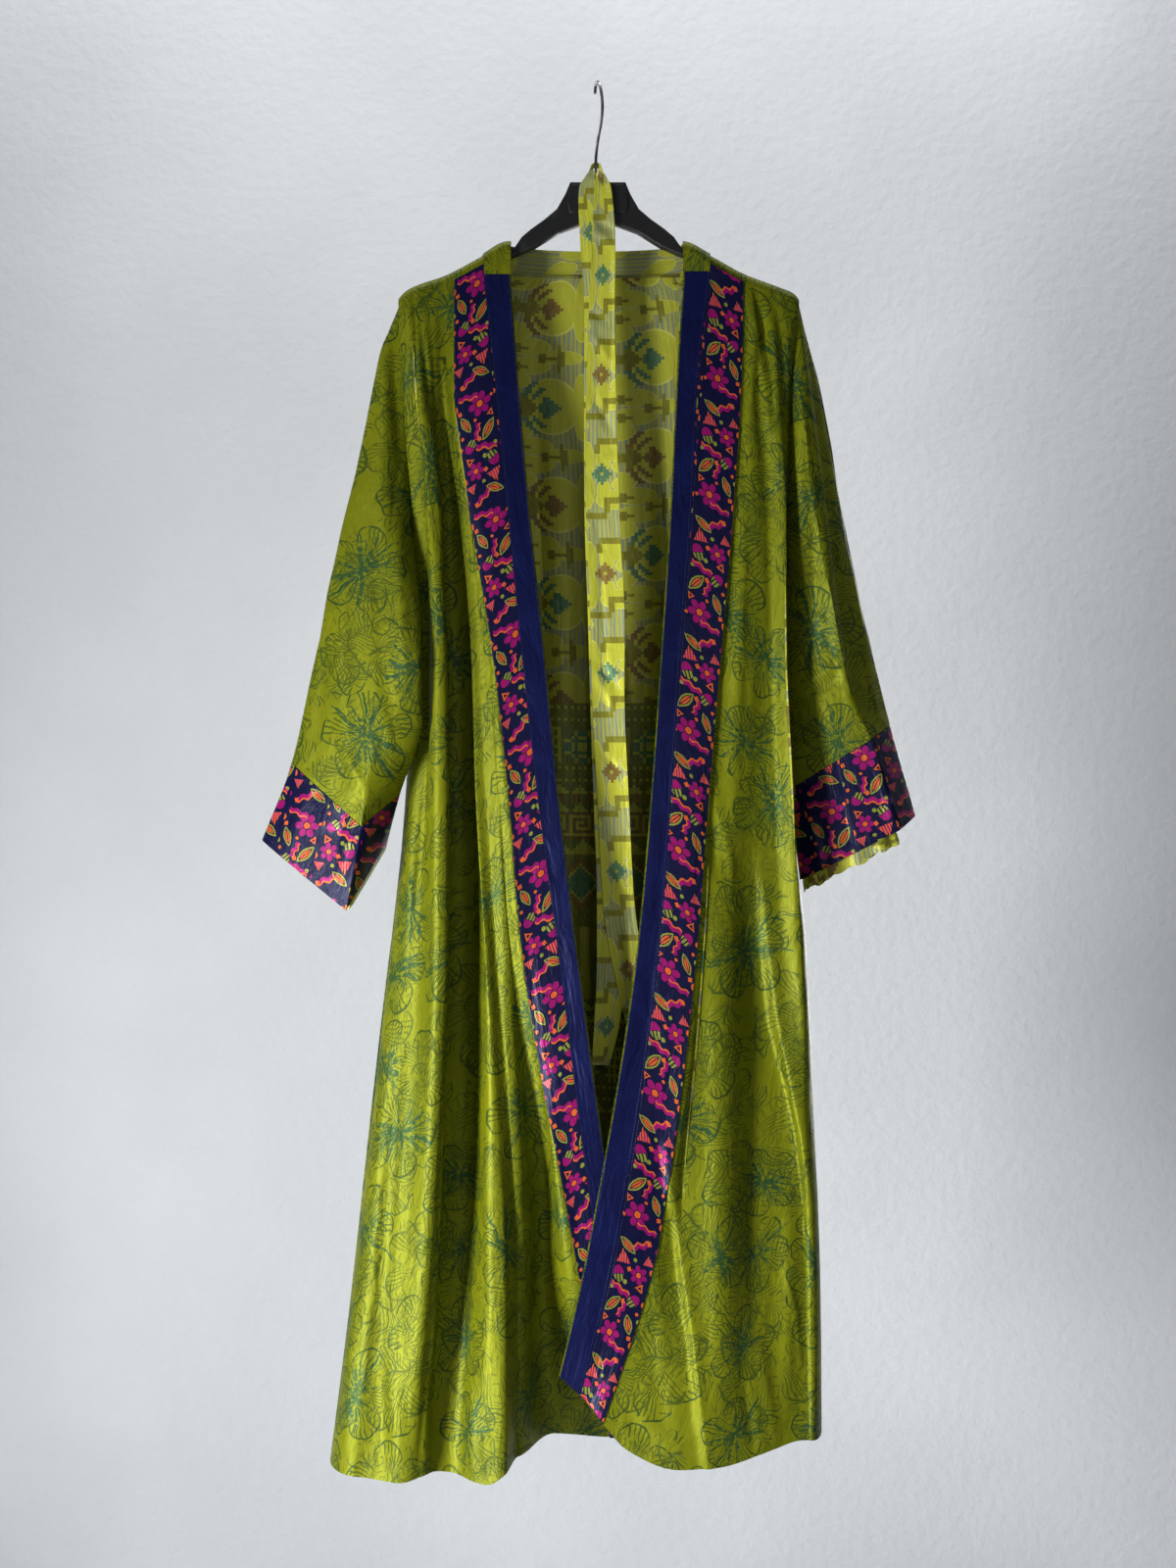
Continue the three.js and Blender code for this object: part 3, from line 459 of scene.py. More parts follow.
# Olive-lime satin, printed with line flowers and leaf sprays in dark green.
satin, t, face = new_material("silk_satin_print", 0.4, 0.0, Metallic=0.3, Specular_IOR_Level=0.14)
cloth = cloth_place(t)
threads = use(t, silk_threads, cloth)
cloudy = node(t, "TexNoise", cloth, None, 5.0, 2.0)
ground = blend(t, ramp(t, cloudy, 0.3, 0.7), (0.122, 0.140, 0.0016), (0.172, 0.190, 0.0026))
ground = blend(t, calc(t, "MULTIPLY", ramp(t, threads[0], 0.35, 0.7), 0.5), ground, (0.24, 0.255, 0.008))
flowers = use(t, drawn_flowers, cloth, 0.088, 5.0)
moved = node(t, "VectorMath", cloth, (0.37, 0.61, 0.0), operation="ADD")
lilies = use(t, drawn_flowers, moved, 0.115, 7.0)
sprays = use(t, drawn_sprays, moved, 0.062)
drawn = calc(t, "MAXIMUM", calc(t, "MAXIMUM", flowers[0], calc(t, "MULTIPLY", lilies[0], 0.8)),
             calc(t, "MULTIPLY", sprays[0], 0.8))
ground = blend(t, calc(t, "MULTIPLY", drawn, 0.88), ground, (0.014, 0.042, 0.008))
worn = node(t, "TexNoise", cloth, None, 210.0, 2.0)
brush = calc(t, "MULTIPLY", flowers[1], ramp(t, worn, 0.36, 0.5))
ground = blend(t, calc(t, "MULTIPLY", brush, 0.85), ground, (0.010, 0.055, 0.022))
t.links.new(ground, face.inputs["Base Color"])
t.links.new(calc(t, "MULTIPLY_ADD", threads[1], 0.16, 0.42), face.inputs["Roughness"])
bulk = calc(t, "MULTIPLY_ADD", threads[2], 1.0, calc(t, "MULTIPLY", threads[1], 0.10))
relief(t, face, bulk, 0.0018)

# Lime silk for the lining and belt, with stepped tulips and branches charted
# on small squares, half a repeat lower in every other column. Figures are
# o olive, T teal and brown by turns; the half chart mirrors below its axis.
SQUARE = 3.25              # mm
TULIP_WIDE, TULIP_HIGH = 28, 32     # squares to a repeat, across and down
CHART = [
    ".ooooooooooooooooTTTTTT.....", "........oooooooo.TTTTT......", "........oo..ooo...TTT.......",
    "........o...oo.T..TT........", "............TT.TT...........", ".............TT.TT..........",
    ".............TT..TT.........", ".....oo.......TT............", ".oooooooo......TT...........",
    "..o..oo.....................", "..o.........................", "..oo........................",
    "...ooo....oo..........o.....", ".....ooooooooo........o.....", "..........oo..........oo....",
    ".................oo...oo....", ".................ooooooo....",
]
OLIVE, TEAL, BROWN, DEEP, LIME = 1, 2, 3, 4, 5
KEY = ["#######.", "#.....#.", "#.###.#.", "#.#...#.", "#.#####.", "#.......", "########"]


def tulip_square(i, j):
    """The figure on square (i across, j down) of the all-over print."""
    column = i // TULIP_WIDE
    j = j + TULIP_HIGH // 2 * (column % 2)
    mark = CHART[min(j % TULIP_HIGH, TULIP_HIGH - j % TULIP_HIGH)][i % TULIP_WIDE]
    repeat = (j + TULIP_HIGH // 2) // TULIP_HIGH
    return 0 if mark == "." else OLIVE if mark == "o" else TEAL if (repeat + column) % 2 else BROWN


def border_square(i, j):
    """The figure on square (i, j) of the woven borders above the hem."""
    if j < 8 or 20 <= j < 27:                       # fine checks
        return DEEP if (i + j) % 2 else LIME if j % 4 == 1 else OLIVE
    if j < 20:                                      # shells and lattices by turns
        a, b = i % 22 - 6, j - 14
        if i % 22 > 13:
            return LIME if i % 2 or b % 3 == 0 else DEEP
        return (TEAL if (a * a + b * b) % 9 > 3 else LIME) if a * a + b * b < 30 else DEEP
    if j < 30 or 33 <= j < 36:                      # rows of triangles
        return LIME if abs(i % 6 - 3) <= (j % 3) else DEEP
    if j < 33:
        return BROWN if i % 5 < 3 else DEEP
    if j < 45:                                      # a key on brown
        a, b = i % 8, j - 37
        return BROWN if not 0 <= b < 7 else LIME if KEY[b][a] == "#" else BROWN
    if j < 50:
        return LIME if abs(i % 8 - 4) <= (j - 45) else DEEP
    if j < 68:                                      # large diamonds in chevrons
        off = abs(i % 18 - 9) + abs(j - 59)
        return TEAL if off < 6 else LIME if off < 7 else BROWN if off < 10 else DEEP if off < 12 else OLIVE
    if j < 74:
        return DEEP if (i + j) % 2 else OLIVE
    j = (j - 74) % 64                               # smaller bands down to the hem
    if j < 24:
        a, b = i % 14 - 7, j - 12
        return TEAL if a * a + b * b * 0.5 < 22 and (a + b) % 3 else OLIVE if abs(a) < 6 else LIME
    if j < 32:
        return LIME if abs(i % 6 - 3) <= j % 4 else DEEP
    return border_square(i, j - 32)


def belt_square(i, j):
    """Olive keys and small diamonds along the belt."""
    a, b = i - 5, j % 32
    if abs(a) + abs(b - 16) < 4:
        return (LIME if a == 0 and b == 16 else TEAL if (j // 32) % 2 else BROWN)
    if b in (2, 3):
        return OLIVE if i < 7 else 0
    if b in (4, 5, 6):
        return OLIVE if i in (6, 7) else 0
    if b in (7, 8):
        return OLIVE if i > 5 else 0
    if b in (26, 27):
        return OLIVE if i > 3 else 0
    if b in (23, 24, 25):
        return OLIVE if i in (3, 4) else 0
    return 0


def marked(mesh, squares):
    """Keeps each face's figure on the mesh, for the lining's material."""
    faces = len(mesh.polygons)
    values = np.zeros(faces, dtype="f4")
    values[:len(squares)] = squares[:faces]
    mesh.attributes.new("figure", "FLOAT", "FACE").data.foreach_set("value", values)


def tulips_inside(piece):
    """The all-over print by the nearest squares, for the lining on the inner
    faces of a piece."""
    mesh = piece.data
    spots = np.empty(len(mesh.loops) * 2, dtype="f4")
    mesh.uv_layers["cloth"].data.foreach_get("uv", spots)
    spots = spots.reshape(-1, 4, 2).mean(axis=1) * SPAN / MM / SQUARE
    marked(mesh, [tulip_square(int(across), int(down)) for across, down in spots])


def figured_silk(name, light):
    """The lining's silk. `light` is 1 for the deepest dye."""
    made, t, face = new_material(name, 0.48, 0.0, Metallic=0.2, Specular_IOR_Level=0.3)
    cloth = cloth_place(t)
    threads = use(t, silk_threads, cloth)
    squares = node(t, "VectorMath", cloth, None, None, 1000 / SQUARE, operation="SCALE")
    parts = t.nodes.new("ShaderNodeSeparateXYZ")
    t.links.new(squares, parts.inputs[0])
    across, down = parts.outputs[0], parts.outputs[1]
    column = calc(t, "FLOOR", calc(t, "DIVIDE", across, float(TULIP_WIDE)))
    drop = calc(t, "MULTIPLY", calc(t, "MODULO", column, 2.0), TULIP_HIGH / 2)
    a = calc(t, "SUBTRACT", across, calc(t, "MULTIPLY", column, float(TULIP_WIDE)))
    b = calc(t, "ADD", down, drop)
    b = calc(t, "PINGPONG", b, TULIP_HIGH / 2)
    # Lime fields round the figures, each an oval (centre, half width and height).
    field = None
    for ax, bx, wide, high in ((17.3, 0, 6.9, 8.6), (6, 8.2, 5.4, 3.0), (11.5, 13, 5.4, 2.7),
                               (20, 16, 5.6, 2.2), (3.0, 11, 2.3, 3.4), (25.5, 5, 2.2, 5.5)):
        sideways = calc(t, "DIVIDE", calc(t, "SUBTRACT", a, float(ax)), wide)
        upright = calc(t, "DIVIDE", calc(t, "SUBTRACT", b, float(bx)), high)
        oval = calc(t, "ADD", calc(t, "POWER", sideways, 2.0), calc(t, "POWER", upright, 2.0))
        field = oval if field is None else calc(t, "MINIMUM", field, oval)
    slow = node(t, "VectorMath", cloth, (1.0, 0.02, 1.0), operation="MULTIPLY")
    slow = node(t, "TexNoise", slow, None, 130.0, 1.0)
    stripe = calc(t, "ADD", calc(t, "MULTIPLY", across, 4.6), calc(t, "MULTIPLY", slow, 9.0))
    stripe = calc(t, "SINE", stripe)
    colour = blend(t, ramp(t, stripe, -0.1, 0.5), (0.20, 0.20, 0.040), (0.095, 0.125, 0.105))
    colour = blend(t, calc(t, "LESS_THAN", field, 1.16), colour, (0.31, 0.31, 0.06))
    colour = blend(t, calc(t, "LESS_THAN", field, 1.0), colour, (0.245, 0.25, 0.016))
    mark = t.nodes.new("ShaderNodeAttribute")
    mark.attribute_name = "figure"
    for value, paint in ((OLIVE, (0.080, 0.074, 0.002)), (TEAL, (0.007, 0.070, 0.048)),
                         (BROWN, (0.085, 0.038, 0.010)), (DEEP, (0.050, 0.062, 0.008)),
                         (LIME, (0.20, 0.21, 0.018))):
        colour = blend(t, calc(t, "COMPARE", mark.outputs["Fac"], float(value), 0.2), colour, paint)
    colour = blend(t, calc(t, "MULTIPLY", ramp(t, threads[0], 0.3, 0.75), 0.35), colour, (0.30, 0.30, 0.05))
    colour = blend(t, 1.0, colour, (light, light, light), "MULTIPLY")
    t.links.new(colour, face.inputs["Base Color"])
    t.links.new(calc(t, "MULTIPLY_ADD", threads[1], 0.15, 0.38), face.inputs["Roughness"])
    relief(t, face, calc(t, "MULTIPLY_ADD", threads[2], 0.6, calc(t, "MULTIPLY", threads[1], 0.15)), 0.003)
    return made


lining = figured_silk("silk_lining_print", 1.5)

left = panel(LEFT_FRONT, LEFT_HEM, shoulder, fine=LEFT_FINE)
right = panel(RIGHT_FRONT, RIGHT_HEM, shoulder, fine=RIGHT_FINE)
left[..., 1] -= SEAM / 2
right[..., 1] -= SEAM / 2
left_out = facing(left, 1)
right_out = facing(right, -1)
# Creases pressed in each front: height, width to its left and right, points.
LEFT_CREASES = [
    (-18, 5.5, 24, (-166, -240), (-158, -420), (-149, -600), (-146, -760), (-145, -930),
     (-152, -1180), (-168, -1440)),
    (-10, 9, 14, (-138, -960), (-140, -1180), (-146, -1330), (-152, -1500)),
    (7, 14, 3.5, (-184, -230), (-169, -400), (-160, -600), (-158, -760), (-159, -930), (-170, -1180),
     (-190, -1440)),
    (4, 22, 14, (-112, -560), (-104, -760), (-94, -960), (-84, -1180), (-88, -1440)),
    (-7, 11, 12, (-80, -900), (-70, -1010), (-58, -1180), (-62, -1430)),
    (-3.0, 9, 12, (-207, -796), (-210, -936), (-216, -1086), (-225, -1236), (-235, -1375)),
    (2.6, 8, 7, (-196, -735), (-192, -886), (-198, -1036), (-207, -1196), (-215, -1335)),
    (2.2, 4, 7, (-178, -492), (-171, -614), (-167, -756), (-165, -896), (-171, -1056), (-177, -1186)),
    (1.7, 2.6, 2.6, (-209, -1202), (-193, -1207), (-180, -1208), (-168, -1202)),
    (-1.5, 3, 3, (-209, -1210), (-193, -1215), (-179, -1216), (-168, -1211)),
    (3.2, 8, 9, (-104, -816), (-96, -916), (-89, -1016), (-83, -1116), (-80, -1226), (-87, -1335),
     (-95, -1435)),
    (-2.4, 5, 5, (-112, -946), (-105, -1036), (-99, -1136), (-97, -1236)),
    (2.6, 5, 6, (-117, -1056), (-115, -1156), (-110, -1265), (-117, -1365)),
    (-4.0, 7, 8, (-65, -1016), (-59, -1116), (-58, -1226), (-65, -1335)),
    (2.8, 7, 8, (-55, -1056), (-43, -1146), (-31, -1236), (-27, -1315)),
    (3.2, 8, 9, (-213, -1305), (-207, -1375), (-201, -1447)),
    (-2.6, 7, 7, (-227, -1335), (-223, -1395), (-221, -1450)),
    (-3.6, 9, 9, (-173, -1315), (-165, -1375), (-159, -1445)),
    (3.2, 7, 8, (-137, -1335), (-131, -1385), (-127, -1447)),
    (-2.2, 5, 5, (-117, -1375), (-113, -1415), (-111, -1447)),
    (2.4, 6, 6, (-251, -1255), (-257, -1335), (-261, -1425)),
    (1.4, 2.6, 3, (-138, -851), (-126, -876), (-112, -898)),
    (-1.2, 2.6, 3, (-132, -901), (-122, -921), (-109, -928)),
    (1.2, 2.4, 2.4, (-128, -876), (-131, -891), (-126, -911)),
    (1.8, 5, 5, (-112, -624), (-105, -695), (-101, -786), (-96, -866)),
    (2.6, 4, 6, (-199, -224), (-194, -276), (-188, -327), (-180, -389)),
    (-2.6, 4, 4, (-191, -224), (-184, -276), (-176, -327), (-169, -379), (-164, -451)),
    (1.6, 5, 5, (-174, -224), (-162, -307), (-153, -400), (-145, -492)),
    (-1.6, 5, 6, (-143, -492), (-135, -614), (-126, -735), (-122, -836)),
    (1.4, 4, 4, (-147, -635), (-142, -725), (-136, -816)),
]
RIGHT_CREASES = [
    (8, 26, 34, (98, -640), (92, -860), (92, -1080), (112, -1430)),
    (-9, 26, 24, (152, -620), (152, -860), (158, -1080), (168, -1430)),
    (2.6, 7, 2.6, (158, -215), (165, -270), (173, -317), (178, -379)),
    (-3.4, 2.6, 6, (162, -215), (172, -270), (179, -317), (182, -369)),
    (-3.0, 5, 5, (182, -219), (189, -265), (193, -327), (195, -389)),
    (2.0, 5, 6, (173, -224), (181, -276), (185, -348)),
    (2.2, 8, 7, (163, -348), (168, -451), (171, -553), (174, -655)),
    (-1.6, 6, 6, (153, -369), (156, -492), (153, -614), (147, -735)),
    (1.5, 4, 5, (118, -735), (125, -771), (133, -808), (137, -846)),
    (-1.6, 4, 5, (109, -756), (116, -796), (122, -836)),
    (-7.5, 22, 3, (160, -800), (168, -900), (176, -981), (189, -1041), (200, -1096), (208, -1161),
     (212, -1236), (214, -1320), (214, -1420)),
    (5, 3.2, 11, (167, -800), (175, -900), (183, -981), (196, -1041), (207, -1096), (215, -1161),
     (219, -1236), (221, -1320), (220, -1420)),
    (-4.2, 15, 2.6, (58, -1081), (66, -1141), (73, -1190), (80, -1240), (90, -1301), (97, -1372),
     (112, -1490)),
    (3.0, 2.8, 9, (63, -1081), (71, -1141), (78, -1190), (85, -1240), (95, -1301), (102, -1372),
     (117, -1490)),
    (6.0, 15, 17, (122, -816), (125, -936), (127, -1066), (125, -1196), (124, -1325), (119, -1435)),
    (-3.5, 14, 12, (157, -866), (161, -996), (161, -1126), (157, -1265), (149, -1375)),
    (4.0, 10, 10, (190, -1126), (195, -1226), (193, -1325), (189, -1415)),
    (1.6, 5, 5, (53, -1196), (61, -1265), (69, -1335)),
    (-1.6, 5, 5, (41, -1285), (57, -1345), (73, -1405)),
    (2.2, 6, 7, (165, -1305), (172, -1355), (181, -1415)),
    (-2.2, 5, 6, (145, -1335), (153, -1385), (161, -1435)),
    (1.8, 5, 6, (204, -896), (211, -976), (215, -1056)),
    (1.6, 4, 4, (29, -1355), (51, -1387), (79, -1411)),
    (-1.4, 4, 4, (25, -1371), (45, -1401), (69, -1423)),
    (1.3, 3, 3, (189, -1226), (201, -1275), (207, -1335)),
]
left = creased(left, left_out, LEFT_CREASES)
right = creased(right, right_out, RIGHT_CREASES)
left_out = facing(left, 1)
right_out = facing(right, -1)


def reversed_columns(*grids):
    return [grid[:, ::-1] for grid in grids]


front_left = shell("robe_front_left", left, left_out, WALL, satin, lining)
front_right = shell("robe_front_right", *reversed_columns(right, right_out), WALL, satin, lining)
for piece, solid in ((front_left, "front_left"), (front_right, "front_right")):
    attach(piece, "root")
    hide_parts(solid)
    tulips_inside(piece)

# -------------------------------------------------------------------- back
# The back is one printed panel that hangs in soft folds from the arms and
# the neck seam, with a pleat down its middle, and its lining shows in front.
LINING = 1.0
BACK_FINE = 4
BACK = [
    ("left side", 3, [-211, -206, -199, -197, -203, -218, -251, -280], [11, 11, 9, 0, 0, 0, 0, 0]),
    ("left turn", 2, [-194, -188, -178, -172, -178, -190, -216, -240], [12, 18, 26, 32, 36, 40, 50, 56]),
    ("left fold", 2, [-160, -156, -150, -148, -150, -154, -168, -182], [12, 24, 36, 46, 54, 60, 76, 88]),
    ("left valley", 2, [-124, -122, -116, -112, -110, -110, -112, -116],
     [13, 23, 31, 37, 42, 45, 54, 56]),
    ("left neck", 2, [-100, -92, -84, -80, -78, -76, -74, -76], [19, 26, 37, 45, 51, 56, 68, 80]),
    ("left of the middle", 2, [-45, -42, -40, -38, -36, -34, -30, -28],
     [22, 27, 35, 42, 46, 49, 54, 54]),
    ("middle pleat", 2, [-8, -8, -6, -5, -4, -4, -4, -4], [22, 29, 40, 49, 55, 60, 70, 78]),
    ("right of the middle", 2, [38, 36, 36, 36, 36, 36, 38, 40], [22, 27, 35, 41, 45, 48, 56, 60]),
    ("right neck", 2, [93, 86, 80, 78, 78, 80, 84, 88], [19, 26, 36, 45, 52, 58, 72, 86]),
    ("right valley", 2, [118, 118, 114, 112, 112, 114, 122, 130], [13, 23, 31, 37, 42, 46, 54, 60]),
    ("right fold", 2, [156, 154, 150, 148, 148, 154, 168, 176], [12, 24, 36, 45, 52, 58, 72, 82]),
    ("right turn", 3, [194, 186, 176, 166, 170, 190, 205, 210], [12, 18, 26, 32, 36, 40, 48, 52]),
    ("right side", 0, [212, 203, 196, 189, 195, 216, 228, 233], [11, 11, 9, 0, 0, 0, 0, 0]),
]
BACK_HEM = ([-280, -182, -110, -30, 60, 160, 233], [-1442, -1434, -1428, -1424, -1424, -1418, -1406])
NECK_MIDDLE, NECK_HALF, NECK_TOP = -3.5, 91.5, -197


def ease(t):
    s = np.clip(t, 0, 1)
    return s * s * (3 - 2 * s)


def neck_share(x):
    return ease((NECK_HALF + 34 - np.abs(x - NECK_MIDDLE)) / 22)


def back_top(x):
    share = ease((NECK_HALF + 12 - np.abs(x - NECK_MIDDLE)) / 14)
    return (shoulder(x) - 3.5 * neck_share(x)) * (1 - share) + NECK_TOP * share


back = panel(BACK, BACK_HEM, back_top, neck_share, fine=BACK_FINE)
back[..., 1] += SEAM / 2
back_out = facing(back, -1)
BACK_CREASES = [           # seen from the front, as the panels' tables are
    (5.5, 12, 9, (-150, -260), (-158, -420), (-166, -600), (-172, -820)),
    (-5.0, 10, 12, (-128, -240), (-134, -380), (-132, -560), (-128, -760)),
    (4.2, 8, 10, (-70, -230), (-64, -400), (-60, -620), (-66, -860)),
    (-3.0, 6, 6, (-16, -215), (-13, -480), (-12, -800), (-12, -1180)),
    (-3.0, 6, 6, (8, -215), (6, -460), (5, -820), (4, -1220)),
    (4.6, 9, 9, (60, -240), (66, -430), (72, -660), (70, -900)),
    (-4.6, 9, 11, (128, -250), (132, -420), (130, -640), (134, -880)),
    (5.0, 10, 10, (172, -270), (166, -450), (160, -640), (168, -860)),
    (6.5, 15, 13, (-205, -900), (-222, -1080), (-238, -1260), (-250, -1430)),
    (-6.0, 13, 13, (-176, -860), (-186, -1060), (-196, -1250), (-204, -1430)),
    (3.6, 11, 13, (-96, -900), (-100, -1100), (-108, -1300), (-112, -1420)),
    (-3.4, 10, 9, (40, -880), (44, -1080), (50, -1280), (54, -1420)),
    (5.6, 13, 12, (110, -860), (116, -1060), (124, -1260), (128, -1410)),
    (-3.6, 10, 12, (186, -900), (192, -1080), (196, -1260), (200, -1400)),
    (1.6, 3, 3, (-140, -520), (-118, -534), (-96, -528)),
    (-1.5, 3, 3, (-138, -530), (-116, -544), (-96, -540)),
    (1.5, 3, 3, (96, -700), (120, -716), (148, -708)),
    (1.4, 3, 4, (-60, -1010), (-34, -1030), (-14, -1022)),
]
back = creased(back, back_out, BACK_CREASES)
back_out = facing(back, -1)
back_panel = shell("robe_back", *reversed_columns(back, back_out), WALL, satin, lining)
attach(back_panel, "root")
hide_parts("back")
tulips_inside(back_panel)


def column_of(lines, name):
    names = [line for line, _, _, _ in lines]
    return sum(steps for _, steps, _, _ in lines[:names.index(name)])


def strip(grid, first, last, top, inset=(0, 0)):
    """The grid's columns from first to last, below the height `top`, drawn in
    by `inset` at its two long edges."""
    part = grid[:, first:last + 1].copy()
    rows = np.arange(part.shape[0], dtype=float)
    if top is not None:
        cut = []
        for c in range(part.shape[1]):
            z = part[:, c, 2]
            start = np.interp(-top, -z, rows)
            cut.append(np.linspace(start, rows[-1], part.shape[0] - 8))
        part = np.stack([np.stack([np.interp(cut[c], rows, part[:, c, i]) for i in range(3)], -1)
                         for c in range(part.shape[1])], axis=1)
    for end, step, gap in ((0, 1, inset[0]), (-1, -1, inset[1])):
        if gap:
            run = part[:, end + step] - part[:, end]
            part[:, end] += run * np.minimum(gap / np.linalg.norm(run, axis=-1, keepdims=True), 0.8)
    return part


LINING_TOP = -199
first = (column_of(BACK, "left valley") + 1) * BACK_FINE
last = (column_of(BACK, "right valley") - 1) * BACK_FINE
showing = strip(back, first, last, LINING_TOP)


def squared(grid, wide, high):
    """The grid's points shared out evenly, `wide` by `high` squares."""
    lengths = np.linalg.norm(np.diff(grid, axis=1), axis=-1)
    rows = []
    for row, gaps in zip(grid, lengths):
        far = np.concatenate([[0], np.cumsum(gaps)])
        rows.append(np.stack([np.interp(np.linspace(0, far[-1], wide + 1), far, row[:, i])
                              for i in range(3)], -1))
    rows = np.array(rows)
    cols = []
    for c in range(wide + 1):
        far = np.concatenate([[0], np.cumsum(np.linalg.norm(np.diff(rows[:, c], axis=0), axis=1))])
        cols.append(np.stack([np.interp(np.linspace(0, far[-1], high + 1), far, rows[:, c, i])
                              for i in range(3)], -1))
    return np.stack(cols, axis=1)


WIDE, HIGH = 70, 378
BORDERS_FROM = 139         # rows of squares above the woven borders
ACROSS, BELOW = 25, 6      # where the print starts at the panel's corner
showing = squared(showing, WIDE, HIGH)
showing_out = facing(showing, -1)
square_u, square_v = np.meshgrid(np.arange(WIDE + 1), np.arange(HIGH + 1))
back_lining = shell("robe_back_lining", *reversed_columns(showing, showing_out), LINING, lining, lining,
                    lift=-WALL - SEAM,
                    uv=((WIDE - square_u + ACROSS) * SQUARE * MM, (square_v + BELOW) * SQUARE * MM))
figures = [[tulip_square(i + ACROSS, j + BELOW) if j < BORDERS_FROM
            else border_square(i, j - BORDERS_FROM)
            for i in range(WIDE - 1, -1, -1)] for j in range(HIGH)]
marked(back_lining.data, np.tile(np.array(figures, dtype="f4").reshape(-1), 2))
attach(back_lining, "root")
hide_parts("back_lining")

# ------------------------------------------------------------------- bands
# A plain navy band edges each front, with a printed border beside it. Both
# are folded strips of silk laid on the panel and stitched down.
BAND, LIE, EDGE = 1.1, 0.45, 1.4    # wall, gap under it, and cloth left at the front's edge
PLAIN_TOP = {"left": -203, "right": -200}
RISE_FROM = 1.37           # where the print starts on the right front, in metres from the neck
# Folk motifs in magenta, orange and leaf green, printed on navy in strips
# 44 mm wide that repeat every 124 mm. Places and sizes are in mm.
STRIP, REPEAT = 44.0, 124.0
motif_place, given, result = group(
    "motif_place", [("Place", "Vector", None), ("Centre", "Vector", None), ("Turn", "Float", 0.0),
                    ("Size", "Vector", (1, 1, 1))],
    [("Across", "Float"), ("Along", "Float"), ("Far", "Float")])
t = motif_place
spot = node(t, "VectorMath", given[0], given[1], operation="SUBTRACT")
spun = t.nodes.new("ShaderNodeVectorRotate")
spun.rotation_type = "Z_AXIS"
t.links.new(spot, spun.inputs["Vector"])
t.links.new(given[2], spun.inputs["Angle"])
spot = node(t, "VectorMath", spun.outputs[0], given[3], operation="DIVIDE")
parts = t.nodes.new("ShaderNodeSeparateXYZ")
t.links.new(spot, parts.inputs[0])
flat_spot = node(t, "CombineXYZ", parts.outputs[0], parts.outputs[1])
t.links.new(parts.outputs[0], result[0])
t.links.new(parts.outputs[1], result[1])
t.links.new(node(t, "VectorMath", flat_spot, out=1, operation="LENGTH"), result[2])

folk_print, given, result = group(
    "folk_print", [("Cloth", "Vector", None)],
    [("Magenta", "Float"), ("Orange", "Float"), ("Green", "Float")])
t = folk_print
drawn = node(t, "TexNoise", given[0], None, 320.0, 1.0, out=1)
drawn = node(t, "VectorMath", drawn, (0.5, 0.5, 0.5), operation="SUBTRACT")
drawn = node(t, "VectorMath", drawn, None, None, 0.0011, operation="SCALE")
place = node(t, "VectorMath", given[0], drawn, operation="ADD")
place = node(t, "VectorMath", place, None, None, 1000.0, operation="SCALE")
parts = t.nodes.new("ShaderNodeSeparateXYZ")
t.links.new(place, parts.inputs[0])
row = calc(t, "FLOOR", calc(t, "DIVIDE", parts.outputs[0], STRIP))
across = calc(t, "SUBTRACT", parts.outputs[0], calc(t, "MULTIPLY", row, STRIP))
along = calc(t, "FLOORED_MODULO", calc(t, "MULTIPLY_ADD", row, 47.0, parts.outputs[1]), REPEAT)
place = node(t, "CombineXYZ", across, along)
paints = {"magenta": [], "orange": [], "green": []}


def motif(x, y, turn, wide, high):
    return use(folk_print, motif_place, place, (x, y, 0.0), radians(turn), (wide, high, 1.0))[:3]


def both(*masks):
    whole = masks[0]
    for mask in masks[1:]:
        whole = calc(folk_print, "MULTIPLY", whole, mask)
    return whole


def under(value, limit):
    return calc(folk_print, "LESS_THAN", value, limit)


def over(value, limit):
    return calc(folk_print, "GREATER_THAN", value, limit)


def stripes(value, count, share=0.0):
    return over(calc(folk_print, "SINE", calc(folk_print, "MULTIPLY", value, float(count))), share)


def size_of(value):
    return calc(folk_print, "ABSOLUTE", value)


# Open flowers: round magenta petals about an orange heart.
for x, y, turn, wide in ((27, 17, 10, 12.5), (13, 84, 50, 9.5)):
    a, b, far = motif(x, y, turn, wide, wide)
    bearing = calc(t, "ARCTAN2", b, a)
    wave = size_of(calc(t, "COSINE", calc(t, "MULTIPLY", bearing, 3.0)))
    rim = calc(t, "MULTIPLY_ADD", calc(t, "POWER", wave, 0.6), 0.62, 0.4)
    petals = both(under(far, rim), over(far, 0.36), over(size_of(calc(t, "SUBTRACT", wave, 0.12)), 0.07))
    paints["magenta"].append(petals)
    paints["orange"].append(under(far, 0.27))
# Leaves: a green rim round an orange blade with a dark vein.
for x, y, turn, wide, high in ((33, 46, 52, 12.5, 5.2), (9, 33, -64, 10.5, 4.4), (31, 108, -28, 11, 4.6)):
    a, b, far = motif(x, y, turn, wide, high)
    edge = calc(t, "SUBTRACT", 1.0, calc(t, "MULTIPLY", a, a))
    off = size_of(b)
    paints["green"].append(both(under(off, edge), over(off, calc(t, "SUBTRACT", edge, 0.34))))
    paints["orange"].append(both(under(off, calc(t, "SUBTRACT", edge, 0.5)), over(off, 0.09)))
